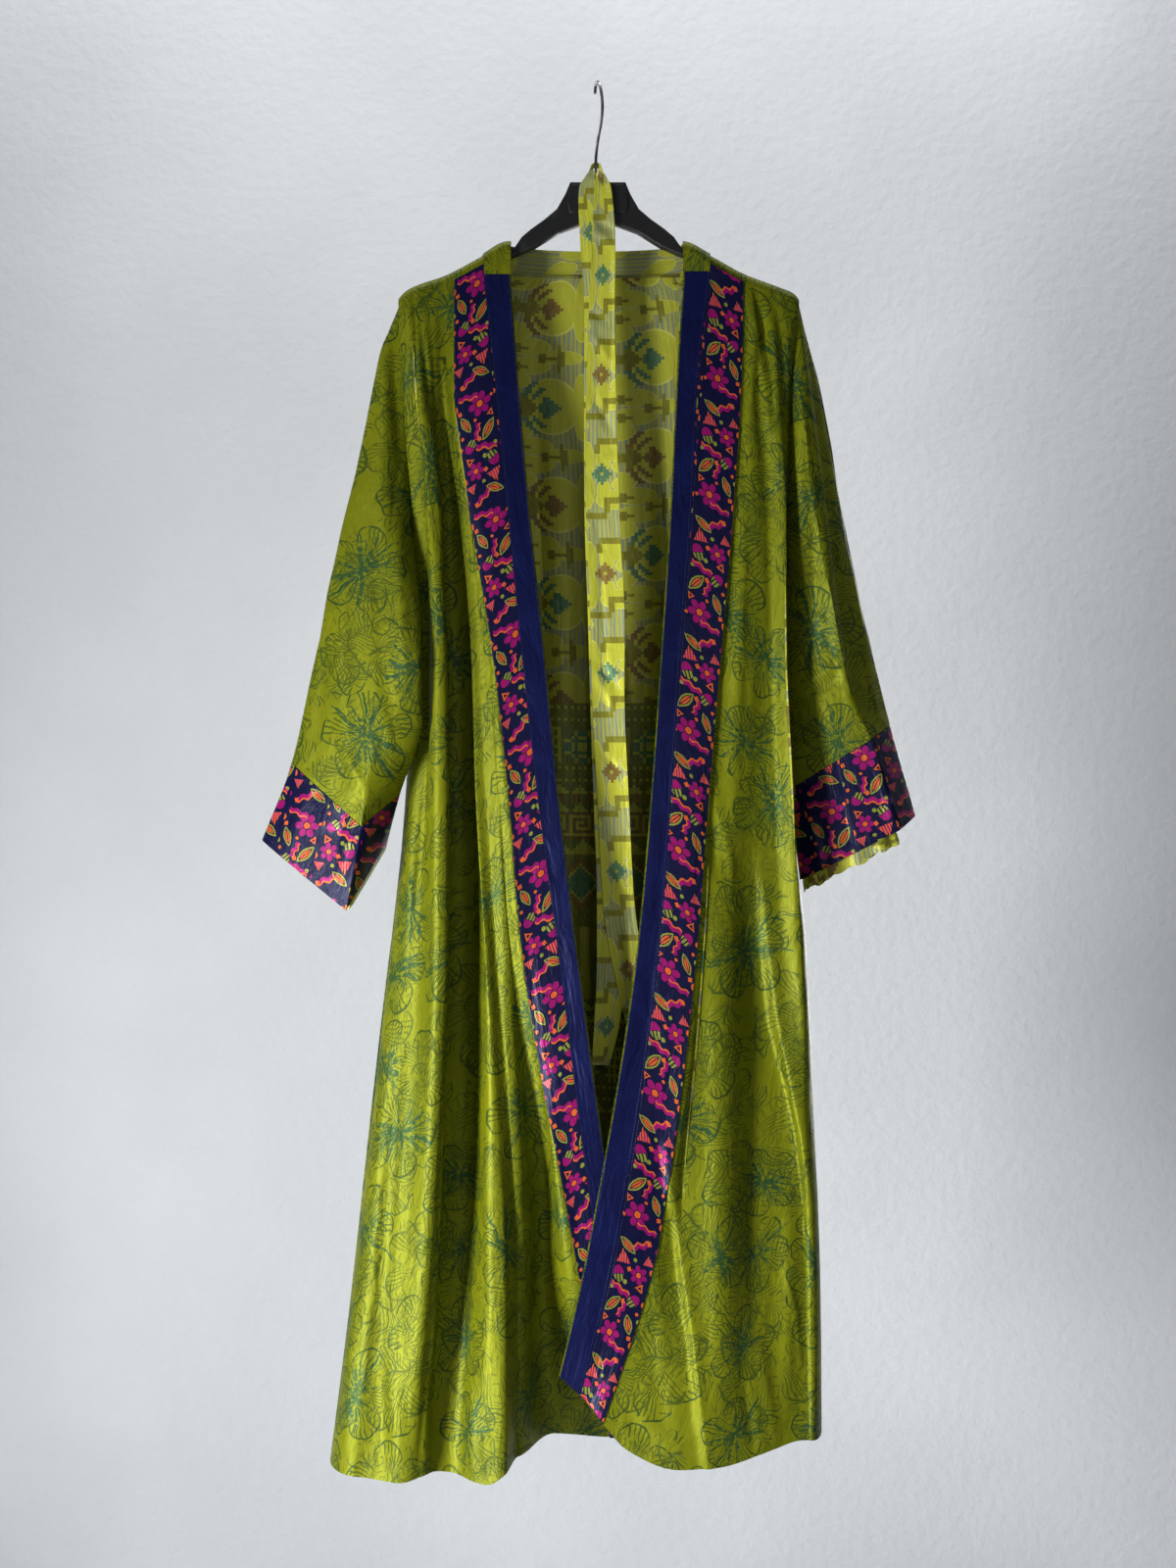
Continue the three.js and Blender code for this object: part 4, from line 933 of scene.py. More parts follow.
# Ovals: half in green stripes and half in magenta.
for x, y, turn, wide, high in ((34, 77, 24, 6.2, 8.4), (11, 57, -38, 5.4, 7.4)):
    a, b, far = motif(x, y, turn, wide, high)
    paints["green"].append(both(under(far, 1.0), under(b, -0.06), stripes(a, 9.5, -0.35)))
    paints["magenta"].append(both(under(far, 1.0), over(b, 0.02)))
# Waved bars: magenta with an orange edge.
for x, y, turn, wide, high in ((29, 62, -14, 12, 2.3), (17, 112, 30, 11, 2.2), (15, 5.5, -8, 11, 2.0),
                               (20, 44, 70, 8.5, 1.8)):
    a, b, far = motif(x, y, turn, wide, high)
    bent = calc(t, "SUBTRACT", b, calc(t, "MULTIPLY", calc(t, "SINE", calc(t, "MULTIPLY", a, 6.5)), 0.55))
    edge = size_of(calc(t, "SUBTRACT", bent, 1.3))
    paints["magenta"].append(both(under(size_of(bent), 0.95), under(size_of(a), 1.0)))
    paints["orange"].append(both(under(edge, 0.42), under(size_of(a), 1.0)))
# Triangles: orange stripes, and small plain ones.
for x, y, turn, wide, count in ((33, 94, 12, 8.5, 7.5), (8, 72, -20, 5.0, 0), (38, 30, 40, 4.2, 0),
                                (6, 100, 8, 6, 8)):
    a, b, far = motif(x, y, turn, wide, wide)
    shape = calc(t, "MAXIMUM", calc(t, "MULTIPLY_ADD", size_of(a), 0.87, calc(t, "MULTIPLY", b, 0.5)),
                 calc(t, "MULTIPLY", b, -1.0))
    inside = under(shape, 0.55)
    if count:
        paints["orange"].append(both(inside, stripes(a, count * 2.4, -0.1)))
        paints["magenta"].append(both(inside, under(stripes(a, count * 2.4, -0.1), 0.5), under(b, 0.5)))
    else:
        paints["orange"].append(both(inside, over(shape, 0.26)))
# Berries on short stems, and small squares.
for x, y, wide, paint in ((25, 72, 2.3, "green"), (20, 97, 2.0, "green"), (39, 62, 2.0, "green"),
                          (20, 32, 1.7, "orange"), (3.5, 46, 1.8, "orange"), (41, 12, 1.8, "orange")):
    a, b, far = motif(x, y, 0, wide, wide)
    paints[paint].append(under(far, 1.0))
for x, y, turn in ((22, 53, 20), (24, 86, 35), (4, 20, 10), (9, 118, 30)):
    a, b, far = motif(x, y, turn, 2.3, 2.3)
    paints["orange"].append(under(calc(t, "MAXIMUM", size_of(a), size_of(b)), 0.9))
# Half-round bits along the strip's outer edge.
for y, wide, high, paint in ((14, 2.2, 3.4, "orange"), (39, 1.8, 2.4, "green"), (57, 2.2, 2.6, "orange"),
                             (91, 2.2, 3.2, "orange"), (113, 1.8, 2.4, "magenta")):
    paints[paint].append(under(motif(0, y, 0, wide, high)[2], 1.0))
for masks, printed in zip(paints.values(), result):
    whole = masks[0]
    for mask in masks[1:]:
        whole = calc(t, "MAXIMUM", whole, mask)
    t.links.new(whole, printed)

navy, t, face = new_material("silk_navy_plain", 0.4, 0.0, Metallic=0.25, Specular_IOR_Level=0.14)
cloth = cloth_place(t)
threads = use(t, silk_threads, cloth)
colour = blend(t, ramp(t, threads[0], 0.35, 0.7), (0.0025, 0.0038, 0.036), (0.0045, 0.0075, 0.062))
cloudy = node(t, "TexNoise", cloth, None, 21.0, 2.0)
colour = blend(t, calc(t, "MULTIPLY", ramp(t, cloudy, 0.4, 0.7), 0.4), colour, (0.006, 0.012, 0.085))
t.links.new(colour, face.inputs["Base Color"])
t.links.new(calc(t, "MULTIPLY_ADD", threads[1], 0.16, 0.36), face.inputs["Roughness"])
relief(t, face, calc(t, "MULTIPLY_ADD", threads[2], 0.8, calc(t, "MULTIPLY", threads[1], 0.12)), 0.003)

folk, t, face = new_material("silk_folk_border", 0.4, 0.0, Metallic=0.2, Specular_IOR_Level=0.18)
cloth = cloth_place(t)
threads = use(t, silk_threads, cloth)
printed = use(t, folk_print, cloth)
colour = blend(t, ramp(t, threads[0], 0.35, 0.7), (0.003, 0.003, 0.026), (0.005, 0.006, 0.042))
for mask, paint in zip(printed, ((0.27, 0.004, 0.115), (0.60, 0.105, 0.018), (0.23, 0.25, 0.03))):
    colour = blend(t, calc(t, "MULTIPLY", mask, 0.96), colour, paint)
t.links.new(colour, face.inputs["Base Color"])
t.links.new(calc(t, "MULTIPLY_ADD", threads[1], 0.16, 0.3), face.inputs["Roughness"])
relief(t, face, calc(t, "MULTIPLY_ADD", threads[2], 0.7, calc(t, "MULTIPLY", threads[1], 0.12)), 0.003)
edge_pieces, band_grids = {}, []
for side, grid, lines, fine, hand in (("left", left, LEFT_FRONT, LEFT_FINE, 1),
                                      ("right", right, RIGHT_FRONT, RIGHT_FINE, -1)):
    border, band, edge = (column_of(lines, name) * fine for name in ("border", "band", "edge"))
    plain = strip(grid, band, edge, PLAIN_TOP[side], (SEAM / 2, EDGE))
    printed = strip(grid[OVER_SHOULDER:], border, band, None, (0, SEAM / 2))
    for name, part, cloth, slot in ((f"band_plain_{side}", plain, navy, "silk_navy"),
                                    (f"border_print_{side}", printed, folk, "silk_border")):
        out = facing(part, hand)
        u, v = measured(part)
        if hand < 0:                       # the right front's strip runs upwards
            part, out, u, v = reversed_columns(part, out, u, RISE_FROM - v)
        piece = shell("robe_" + name, part, out, BAND, cloth, cloth, lift=LIE + BAND, uv=(u, v))
        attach(piece, "root")
        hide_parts(name)
        edge_pieces[name] = piece
        band_grids.append((name, part, out))

# --------------------------------------------------------------- neck band
# The neck band of printed silk goes on from the plain bands, over both
# shoulders and up across the back of the neck.
NECK = [  # the inner and outer edge of half the band, from the shoulder to the middle
    ((92.5, 7, -164.4), (119.8, 10.5, -178.2)), ((91.5, 14, -165), (119, 19.5, -182)),
    ((84, 20, -166.5), (107, 25, -198)), ((66, 22.5, -168), (77, 25.6, -204.5)),
    ((34, 23.6, -169.5), (38, 26, -206)),
]
NECK_CENTRE = ((0, 24, -170), (0, 26.2, -206.5))


def across_neck(row, hand):
    a, b = (np.array([NECK_MIDDLE + hand * x, y, z]) for x, y, z in row)
    return b + (a - b) * np.linspace(0, 1, 9)[:, None]


def neck_front(grid, lines, fine, top, hand):
    """The band's rows over a shoulder, down to the plain band's end."""
    first, last = column_of(lines, "band") * fine, column_of(lines, "edge") * fine
    below = strip(grid, first, last, top + SEAM)[:1]
    above = grid[:OVER_SHOULDER + 1:3, first:last + 1]
    normals = facing(grid[:, first:last + 1], hand)
    n = np.concatenate([normals[:OVER_SHOULDER + 1:3], normals[[OVER_SHOULDER + 3]]])
    rows = np.concatenate([above, below]) + n * (LIE + SEAM + BAND)
    at = np.linspace(0, rows.shape[1] - 1, 9)
    index = np.arange(rows.shape[1])
    return [np.stack([np.interp(at, index, row[:, i]) for i in range(3)], -1) for row in rows]


neck_rows = [*neck_front(left, LEFT_FRONT, LEFT_FINE, PLAIN_TOP["left"], 1)[::-1],
             *(across_neck(row, -1) for row in NECK), across_neck(NECK_CENTRE, 1),
             *(across_neck(row, 1) for row in NECK[::-1]),
             *neck_front(right, RIGHT_FRONT, RIGHT_FINE, PLAIN_TOP["right"], -1)]
knots = np.arange(len(neck_rows))
finer = np.linspace(0, len(neck_rows) - 1, (len(neck_rows) - 1) * 8 + 1)
neck = np.array(neck_rows)
neck = np.stack([np.stack([smooth(knots, neck[:, c, i], finer) for i in range(3)], -1)
                 for c in range(neck.shape[1])], axis=1)
neck_out = facing(neck, -1)
neck_band = shell("robe_neck_band", *reversed_columns(neck, neck_out), BAND, satin, lining)
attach(neck_band, "root")
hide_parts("neck_band")

# ----------------------------------------------------------------- sleeves
# Straight sleeves of the same printed silk hang beside the body, folded
# flat, with the printed border turned up as a deep cuff.
ROUND, RING_FINE = 24, 4   # steps round a sleeve, and points to each step
RING = ROUND * RING_FINE
CUFF_FROM = 5              # the section where the cuff begins
LEFT_SLEEVE = (7, [  # crease, then top, fold, under and half depth at each section
    ((-209, 0, -231), (-201, 0, -380), (-194.5, -6, -470), 12.9),
    ((-229, -3, -285), (-213, -14, -430), (-190, -23, -506), 12),
    ((-248, -4, -375), (-217, -32, -515), (-184, -44, -560), 11),
    ((-273, -5, -495), (-224, -42, -605), (-182, -56, -618), 11),
    ((-300, -5, -615), (-232, -48, -690), (-181, -53, -668), 11),
    ((-322, -5, -713), (-243, -50, -779), (-207, -24, -747), 11),
    ((-353, -5, -794), (-259, -46, -865), (-223, -4, -800), 12),
])
RIGHT_SLEEVE = (4, [
    ((210, 0, -233), (202, 0, -293), (193, 0, -470), 12.9),
    ((226, 3, -290), (212, -15, -350), (194, -2, -515), 12),
    ((243, 5, -380), (221, -20, -430), (193.6, -3, -580), 11),
    ((266, 6, -495), (239, -24, -540), (194.4, -4, -650), 11),
    ((289, 6, -600), (259, -26, -640), (197, -4, -706), 11),
    ((307, 6, -673), (281, -26, -690), (199.6, -3, -741), 11),
    ((334, 6, -768), (311, -26, -783), (211, -3, -836), 12),
])


def sleeve(table, start, end, rows, part=(0, 1), less=0):
    """Rings of a sleeve's points from section `start` to `end`. `part` is the
    share of its width that they cover, and `less` what is off its depth."""
    crease, sections = table
    knots = np.arange(len(sections))
    at = np.linspace(start, end, rows + 1)
    steps = np.arange(RING) / RING_FINE
    share = (1 - np.cos(2 * pi * steps / ROUND)) / 2
    corner = (1 - np.cos(2 * pi * crease / ROUND)) / 2
    top, fold, under = (np.stack([smooth(knots, [s[j][i] for s in sections], at) for i in range(3)], -1)
                        for j in range(3))
    deep = smooth(knots, [s[3] for s in sections], at) - less
    opened = np.sqrt(np.maximum(1 - (2 * share - 1) ** 4, 0))
    s = part[0] + (part[1] - part[0]) * share
    a = np.clip(s / corner, 0, 1)[None, :, None]
    b = np.clip((s - corner) / (1 - corner), 0, 1)[None, :, None]
    spots = np.where(b > 0, fold[:, None] * (1 - b) + under[:, None] * b,
                     top[:, None] * (1 - a) + fold[:, None] * a)
    front = np.where(steps < ROUND / 2, -1, 1)
    spots[..., 1] += front[None] * deep[:, None] * opened[None]
    return spots


def flat_tube(part, side):
    """Cloth across and along a sleeve that lies flat. Its back half is the
    front's mirror image, so the print turns round the top fold."""
    lean = radians(14 if side == "left" else -13)
    x, z = part[..., 0] - part[..., 0].min(), part[..., 2].max() - part[..., 2]
    u = (x * np.cos(lean) + z * np.sin(lean)) * MM + 0.05
    v = (z * np.cos(lean) - x * np.sin(lean)) * MM + 0.12
    return u, v


LEFT_SLEEVE_CREASES = [
    (4.0, 11, 10, (-264, -410), (-267, -501), (-266, -593), (-262, -674), (-250, -748)),
    (-3.0, 9, 9, (-231, -450), (-228, -532), (-223, -613), (-217, -674)),
    (2.4, 6, 7, (-211, -450), (-203, -552), (-197, -634)),
    (-2.6, 5, 7, (-286, -572), (-290, -634), (-294, -695)),
    (2.2, 5, 5, (-278, -491), (-283, -552), (-286, -603)),
    (1.6, 3.5, 3.5, (-266, -695), (-254, -715), (-239, -742)),
    (-1.6, 3.5, 3.5, (-271, -705), (-260, -727), (-250, -742)),
    (2.0, 6, 6, (-227, -257), (-224, -328), (-221, -399)),
    (-2.0, 5, 6, (-215, -257), (-211, -338), (-206, -410)),
    (1.4, 4, 4, (-229, -634), (-217, -674), (-211, -725)),
]
RIGHT_SLEEVE_CREASES = [
    (3.4, 4, 6, (207, -228), (217, -326), (227, -408), (236, -490), (244, -571), (257, -653)),
    (-3.4, 3.5, 6, (214, -233), (224, -326), (235, -408), (243, -490), (252, -571), (267, -648)),
    (1.9, 4, 4, (212, -631), (230, -623), (245, -612), (261, -596)),
    (-1.7, 4, 4, (216, -645), (235, -635), (251, -623)),
    (1.6, 4, 4, (202, -571), (218, -571), (232, -561)),
    (2.4, 7, 7, (206, -346), (210, -449), (210, -551)),
    (-2.2, 6, 7, (222, -449), (222, -531), (220, -612)),
    (2.0, 5, 5, (263, -490), (275, -571), (290, -653)),
    (-1.8, 5, 5, (255, -408), (267, -490), (282, -582)),
    (1.6, 4, 4, (280, -623), (292, -664), (301, -678)),
]


def behind_too(creases):
    """Like creases on a sleeve's other side, a little moved and softer."""
    return [(-0.8 * high, wide, other, *((x + 7, z + 31) for x, z in route))
            for high, other, wide, *route in creases]


LEFT_CUFF_CREASES = [
    (3.0, 5, 6, (-230, -752), (-240, -795), (-250, -842)),
    (-2.2, 5, 5, (-256, -740), (-268, -790), (-276, -830)),
    (1.6, 4, 4, (-296, -735), (-312, -775), (-322, -800)),
    (-1.4, 4, 4, (-318, -720), (-332, -765)),
]
RIGHT_CUFF_CREASES = [
    (2.4, 5, 4, (219, -765), (228, -805), (235, -838)),
    (-2.0, 5, 5, (246, -745), (258, -790), (264, -826)),
    (1.8, 4, 4, (284, -715), (298, -752), (306, -785)),
]
FLAT_TUBES = {  # girth, length and area, in metres
    "sleeve_left": (0.36, 0.36, 0.095), "cuff_left": (0.3, 0.11, 0.0275),
    "sleeve_right": (0.3, 0.38, 0.08), "cuff_right": (0.3, 0.12, 0.0293)}
sleeve_pieces, cuff_grids = {}, []
for side, table, hand, arm_creases, cuff_creases, front in (
        ("left", LEFT_SLEEVE, 1, LEFT_SLEEVE_CREASES, LEFT_CUFF_CREASES, front_left),
        ("right", RIGHT_SLEEVE, -1, RIGHT_SLEEVE_CREASES, RIGHT_CUFF_CREASES, front_right)):
    for name, start, end, rows, creases, cloth, slot in (
            (f"sleeve_{side}", 0, CUFF_FROM - 0.004, 120, arm_creases, satin, "silk_green"),
            (f"cuff_{side}", CUFF_FROM + 0.004, CUFF_FROM + 1, 28, cuff_creases, folk, "silk_border")):
        part = sleeve(table, start, end, rows)
        out = facing(part, hand, ring=True)
        before = (np.arange(RING) < RING / 2)[None, :, None]
        part = np.where(before, creased(part, out, creases), creased(part, out, behind_too(creases)))
        out = facing(part, hand, ring=True)
        if hand < 0:
            part, out = reversed_columns(part, out)
        piece = shell("robe_" + name, part, out, WALL, cloth, lining, ring=True, uv=flat_tube(part, side))
        tulips_inside(piece)
        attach(piece, "root")
        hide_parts(name)
        wide, long, area = FLAT_TUBES[name]
        sleeve_pieces[f"sleeve_{side}"] if "cuff" in name else front
        sleeve_pieces[name] = piece
        if "cuff" in name:
            cuff_grids.append((side, part, out))

# The lining hangs a little below the right cuff, with a ruffled edge.
hanging = sleeve(RIGHT_SLEEVE, 5.5, 6.13, 16, (0.27, 0.98), 3.4)
ruffle = np.linspace(0, 1, len(hanging))[:, None] ** 1.5
bearing = np.arange(RING)[None] * 2 * pi / RING
hanging[..., 2] += ruffle * (1.7 * np.sin(13 * bearing) + 1.2 * np.sin(7 * bearing + 1))
hanging[..., 1] += ruffle * (1.5 * np.cos(11 * bearing) + 0.8 * np.sin(5 * bearing))
hanging, hanging_out = reversed_columns(hanging, facing(hanging, -1, ring=True))
cuff_lining = shell("robe_cuff_lining_right", hanging, hanging_out, LINING, lining, lining, ring=True,
                    uv=flat_tube(hanging, "right"))
tulips_inside(cuff_lining)
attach(cuff_lining, "root")
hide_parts("cuff_lining_right")

# ---------------------------------------------------------------- stitches
# Rows of small stitches hold the hems, the bands, the cuffs and the neck
# band. Each is a short length of thread that dips into the cloth at its ends.
stitch_rows = bpy.data.node_groups.new("stitch_rows", "GeometryNodeTree")
sockets = {}
for label, kind, value in (("Rows", "Geometry", None), ("Pitch", "Float", 0.0032),
                           ("Stitch", "Float", 0.0024), ("Thread", "Float", 0.00045),
                           ("Unevenness", "Float", 0.12), ("Silk", "Material", None)):
    socket = stitch_rows.interface.new_socket(label, in_out="INPUT", socket_type="NodeSocket" + kind)
    if value is not None:
        socket.default_value = value
    sockets[label] = socket.identifier
stitch_rows.interface.new_socket("Stitches", in_out="OUTPUT", socket_type="NodeSocketGeometry")


def geo(kind, *links, **settings):
    """A geometry node with links given as pairs of input name and output."""
    made = stitch_rows.nodes.new(kind)
    for key, value in settings.items():
        setattr(made, key, value)
    for label, source in links:
        if isinstance(source, bpy.types.NodeSocket):
            stitch_rows.links.new(source, made.inputs[label])
        else:
            made.inputs[label].default_value = source
    return made


given = stitch_rows.nodes.new("NodeGroupInput").outputs
spaced = geo("GeometryNodeResampleCurve", ("Curve", given["Rows"]), ("Length", given["Pitch"]),
             mode="LENGTH")
along = geo("GeometryNodeInputTangent")
turned = geo("FunctionNodeAlignRotationToVector", ("Vector", along.outputs[0]), axis="Z")
bead = geo("GeometryNodeMeshUVSphere", ("Segments", 6), ("Rings", 4), ("Radius", 0.5))
longer = geo("ShaderNodeCombineXYZ", ("X", given["Thread"]), ("Y", given["Thread"]), ("Z", given["Stitch"]))
thread = geo("GeometryNodeTransform", ("Geometry", bead.outputs[0]), ("Scale", longer.outputs[0]))
least = geo("ShaderNodeMath", (0, 1.0), (1, given["Unevenness"]), operation="SUBTRACT")
most = geo("ShaderNodeMath", (0, 1.0), (1, given["Unevenness"]), operation="ADD")
uneven = geo("FunctionNodeRandomValue", (2, least.outputs[0]), (3, most.outputs[0]), ("Seed", 11),
             data_type="FLOAT")
laid = geo("GeometryNodeInstanceOnPoints", ("Points", spaced.outputs[0]), ("Instance", thread.outputs[0]),
           ("Rotation", turned.outputs[0]), ("Scale", uneven.outputs[1]))
real = geo("GeometryNodeRealizeInstances", ("Geometry", laid.outputs[0]))
dyed = geo("GeometryNodeSetMaterial", ("Geometry", real.outputs[0]), ("Material", given["Silk"]))
stitch_rows.links.new(dyed.outputs[0], stitch_rows.nodes.new("NodeGroupOutput").inputs[0])


def twisted_thread(name, dark, pale):
    made, t, face = new_material(name, 0.5, 0.2)
    place = t.nodes.new("ShaderNodeTexCoord").outputs["Object"]
    ply = node(t, "TexNoise", place, None, 900.0, 2.0)
    t.links.new(blend(t, ramp(t, ply, 0.35, 0.65), dark, pale), face.inputs["Base Color"])
    t.links.new(calc(t, "MULTIPLY_ADD", ply, 0.2, 0.4), face.inputs["Roughness"])
    relief(t, face, ply, 0.0002)
    return made


navy_thread = twisted_thread("thread_navy", (0.004, 0.006, 0.05), (0.012, 0.02, 0.13))
green_thread = twisted_thread("thread_green", (0.10, 0.12, 0.006), (0.24, 0.26, 0.02))


def stitched(name, rows, silk, on):
    """Rows of stitches along lines of points in mm, as one mesh that goes
    with the piece `on`."""
    drawn = bpy.data.curves.new(name, "CURVE")
    drawn.dimensions = "3D"
    for row in rows:
        spline = drawn.splines.new("POLY")
        spline.points.add(len(row) - 1)
        spline.points.foreach_set("co", np.c_[row * MM, np.ones(len(row))].reshape(-1))
    guide = bpy.data.objects.new(name + "_rows", drawn)
    bpy.context.scene.collection.objects.link(guide)
    sewn = guide.modifiers.new("stitches", "NODES")
    sewn.node_group = stitch_rows
    sewn[sockets["Silk"]] = silk
    made = bpy.data.meshes.new_from_object(guide.evaluated_get(bpy.context.evaluated_depsgraph_get()))
    guide.modifiers.remove(sewn)
    bpy.data.objects.remove(guide)
    piece = bpy.data.objects.new(name, made)
    bpy.context.scene.collection.objects.link(piece)
    piece.parent = on


def on_cloth(spots, normals, share, lift):
    """The line a share of the way across a grid, `lift` off its points."""
    at = share * (spots.shape[1] - 1)
    c, part = int(at), at - int(at)
    d = min(c + 1, spots.shape[1] - 1)
    raised = spots + normals * lift
    return raised[:, c] * (1 - part) + raised[:, d] * part


def above_hem(spots, normals, gap, lift=0.1):
    """The line `gap` above a grid's last row."""
    rise = np.linalg.norm(np.diff(spots[-20:], axis=0), axis=-1)[::-1].cumsum(axis=0)
    line = []
    for c in range(spots.shape[1]):
        r = int(np.searchsorted(rise[:, c], gap))
        line.append(spots[-2 - r, c] + normals[-2 - r, c] * lift)
    return np.array(line)


HEM_TURN = 9               # mm from the hem's edge to its stitches
for side, grid, out, piece in (("left", left, left_out, front_left),
                               ("right", right, right_out, front_right),
                               ("back", back, back_out, back_panel)):
    stitched(f"stitches_hem_{side}", [above_hem(grid, out, HEM_TURN)], green_thread, piece)
for name, part, out in band_grids:
    shares = (0.04, 0.93) if "plain" in name else (0.035,)
    stitched(f"stitches_{name}", [on_cloth(part, out, share, LIE + BAND) for share in shares],
             navy_thread, edge_pieces[name])
stitched("stitches_neck_band", [on_cloth(neck, neck_out, share, 0.1) for share in (0.05, 0.95)],
         green_thread, neck_band)
for side, part, out in cuff_grids:
    raised = part + out * 0.1
    rows = [np.concatenate([raised[r], raised[r][:1]]) for r in (1, -3)]
    stitched(f"stitches_cuff_{side}", rows, navy_thread, sleeve_pieces[f"cuff_{side}"])

# -------------------------------------------------------------------- belt
# The belt is a flat tube of the lining's silk, folded behind the hook's wire
# with both halves hanging down the open front.
BELT_WALL = 1.8
BELT_WIDE = 11             # squares of the print across the belt
belt_silk = figured_silk("silk_belt_print", 2.3)
BELT = [  # x, y, z, width, turn of the width to X
    (39, -9, -983, 22, 0), (33, -9, -941, 30, 0), (26, -9, -900, 33, 0), (20, -9, -850, 33, 0),
    (15, -9, -750, 33, 0), (10, -9, -650, 34, 0), (9, -9, -560, 36, 0), (4, -9, -450, 35, 0),
    (2.5, -9.6, -350, 32, 0), (3, -10.4, -250, 28, 0), (5, -11.2, -160, 24, 0),
    (4, -11.2, -110, 17, 0), (2.2, -10, -101, 11, 10), (0.9, -6, -94, 7, 30), (1, -2, -88.5, 6, 75),
    (0.8, 2, -85.5, 6, 90), (-3, 3.9, -84, 6, 90), (-6.8, 2, -85.5, 6, 90), (-7, -1.5, -88.5, 6, 105),
    (-7, -5.2, -94, 7, 150), (-9.2, -7.8, -101, 11, 170), (-12, -7.7, -110, 17, 180),
    (-8, -7.2, -160, 24, 180), (0, -7, -250, 30, 180), (1, -6.2, -350, 33, 180),
    (2, -5.6, -450, 34, 180), (6, -5.6, -560, 35, 180), (8, -5.6, -650, 34, 180),
    (11, -5.6, -750, 33, 180), (14, -5.6, -850, 32, 180), (13, -5.6, -930, 30, 180),
    (8, -5.6, -990, 26, 180), (2, -5.6, -1030, 18, 180),
]
run = np.array(BELT, float)
far = np.concatenate([[0], np.cumsum(np.linalg.norm(np.diff(run[:, :3], axis=0), axis=1))])
at = np.linspace(0, far[-1], int(far[-1] / SQUARE) + 1)
x, y, z, width, turn = (smooth(far, run[:, i], at) for i in range(5))
side = np.linspace(-0.5, 0.5, BELT_WIDE + 1)
belt_grid = np.stack([x[:, None] + side * (width * np.cos(np.radians(turn)))[:, None],
                      np.repeat(y[:, None], BELT_WIDE + 1, 1),
                      z[:, None] + side * (width * np.sin(np.radians(turn)))[:, None]], -1)
BELT_CREASES = [
    (1.8, 3, 4, (-6, -146), (6, -152), (17, -160)),
    (-1.8, 3, 3, (-8, -156), (5, -163), (14, -172)),
    (1.7, 5, 2.5, (11, -166), (15, -255), (11, -330), (12, -390)),
    (1.6, 3, 3, (-9, -238), (0, -247), (11, -254)),
    (-1.6, 3, 4, (-8, -262), (3, -280), (14, -296)),
    (1.8, 3, 4, (-6, -330), (6, -352), (14, -372)),
    (-1.5, 3, 3, (-12, -408), (4, -396), (16, -388)),
    (1.6, 4, 3, (-2, -430), (2, -520), (6, -600), (8, -680)),
    (2.0, 3, 4, (-4, -606), (10, -622), (22, -640)),
    (-1.8, 3, 4, (-6, -622), (8, -640), (20, -660)),
    (1.7, 3, 3, (2, -700), (14, -716), (24, -724)),
    (-1.5, 3, 3, (4, -776), (18, -764), (28, -760)),
    (1.8, 3, 4, (8, -828), (22, -842), (32, -858)),
    (1.6, 4, 3, (26, -870), (30, -920), (36, -960)),
]
IN_FRONT = 14              # rows of the table in the belt's front half
nearer = (at < far[IN_FRONT])[:, None, None]
crown = 1.4 * (1 - (2 * side) ** 2) * np.clip(width / 26, 0, 1)[:, None] ** 2
belt_out = facing(belt_grid, 1)
belt_grid = belt_grid + belt_out * nearer * crown[..., None]
belt_grid = np.where(nearer, creased(belt_grid, belt_out, BELT_CREASES), belt_grid)
belt_out = facing(belt_grid, 1)
belt_u, belt_v = np.meshgrid(np.arange(BELT_WIDE + 1), np.arange(len(at)))
belt = shell("robe_belt", belt_grid, belt_out, BELT_WALL, belt_silk, belt_silk, lift=BELT_WALL / 2,
             uv=(belt_u * SQUARE * MM, belt_v * SQUARE * MM))
figures = [[belt_square(i, j) for i in range(BELT_WIDE)] for j in range(len(at) - 1)]
marked(belt.data, np.tile(np.array(figures, dtype="f4").reshape(-1), 2))
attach(belt, "root")
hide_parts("belt")
stitched("stitches_belt",
         [on_cloth(belt_grid, belt_out, share, BELT_WALL / 2 + 0.1) for share in (0.08, 0.92)],
         green_thread, belt)

# ------------------------------------------------------------------ hanger
# The hanger is moulded in black plastic with a satin finish, and its head has
# a raised pad on each side of the hook's socket. The hook is drawn steel wire.
PAD_FRONT, PAD_TALL, PAD_EDGE = -6.1, 1.3, 0.9
PADS = [[(-27.5, -107.5), (-19.5, -107.5), (-19.5, -137), (-30.5, -137), (-33.5, -126)],
        [(16.5, -107.5), (25.5, -107.5), (31.5, -126), (28.5, -137), (16.5, -137)]]
moulded, t, face = new_material("hanger_plastic", 0.4, 0.0, Specular_IOR_Level=0.45)
place = t.nodes.new("ShaderNodeTexCoord").outputs["Object"]
spark = node(t, "TexNoise", place, None, 2400.0, 2.0)
rubbed = node(t, "TexNoise", place, None, 60.0, 4.0)
colour = blend(t, ramp(t, rubbed, 0.5, 0.75), (0.008, 0.008, 0.009), (0.018, 0.018, 0.019))
t.links.new(colour, face.inputs["Base Color"])
t.links.new(calc(t, "MULTIPLY_ADD", rubbed, 0.22, 0.30), face.inputs["Roughness"])
relief(t, face, calc(t, "MULTIPLY_ADD", rubbed, 0.6, calc(t, "MULTIPLY", spark, 0.3)), 0.0004)
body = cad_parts["hanger_body"]
body.data.materials.clear()
body.data.materials.append(moulded)
points, faces = [], []
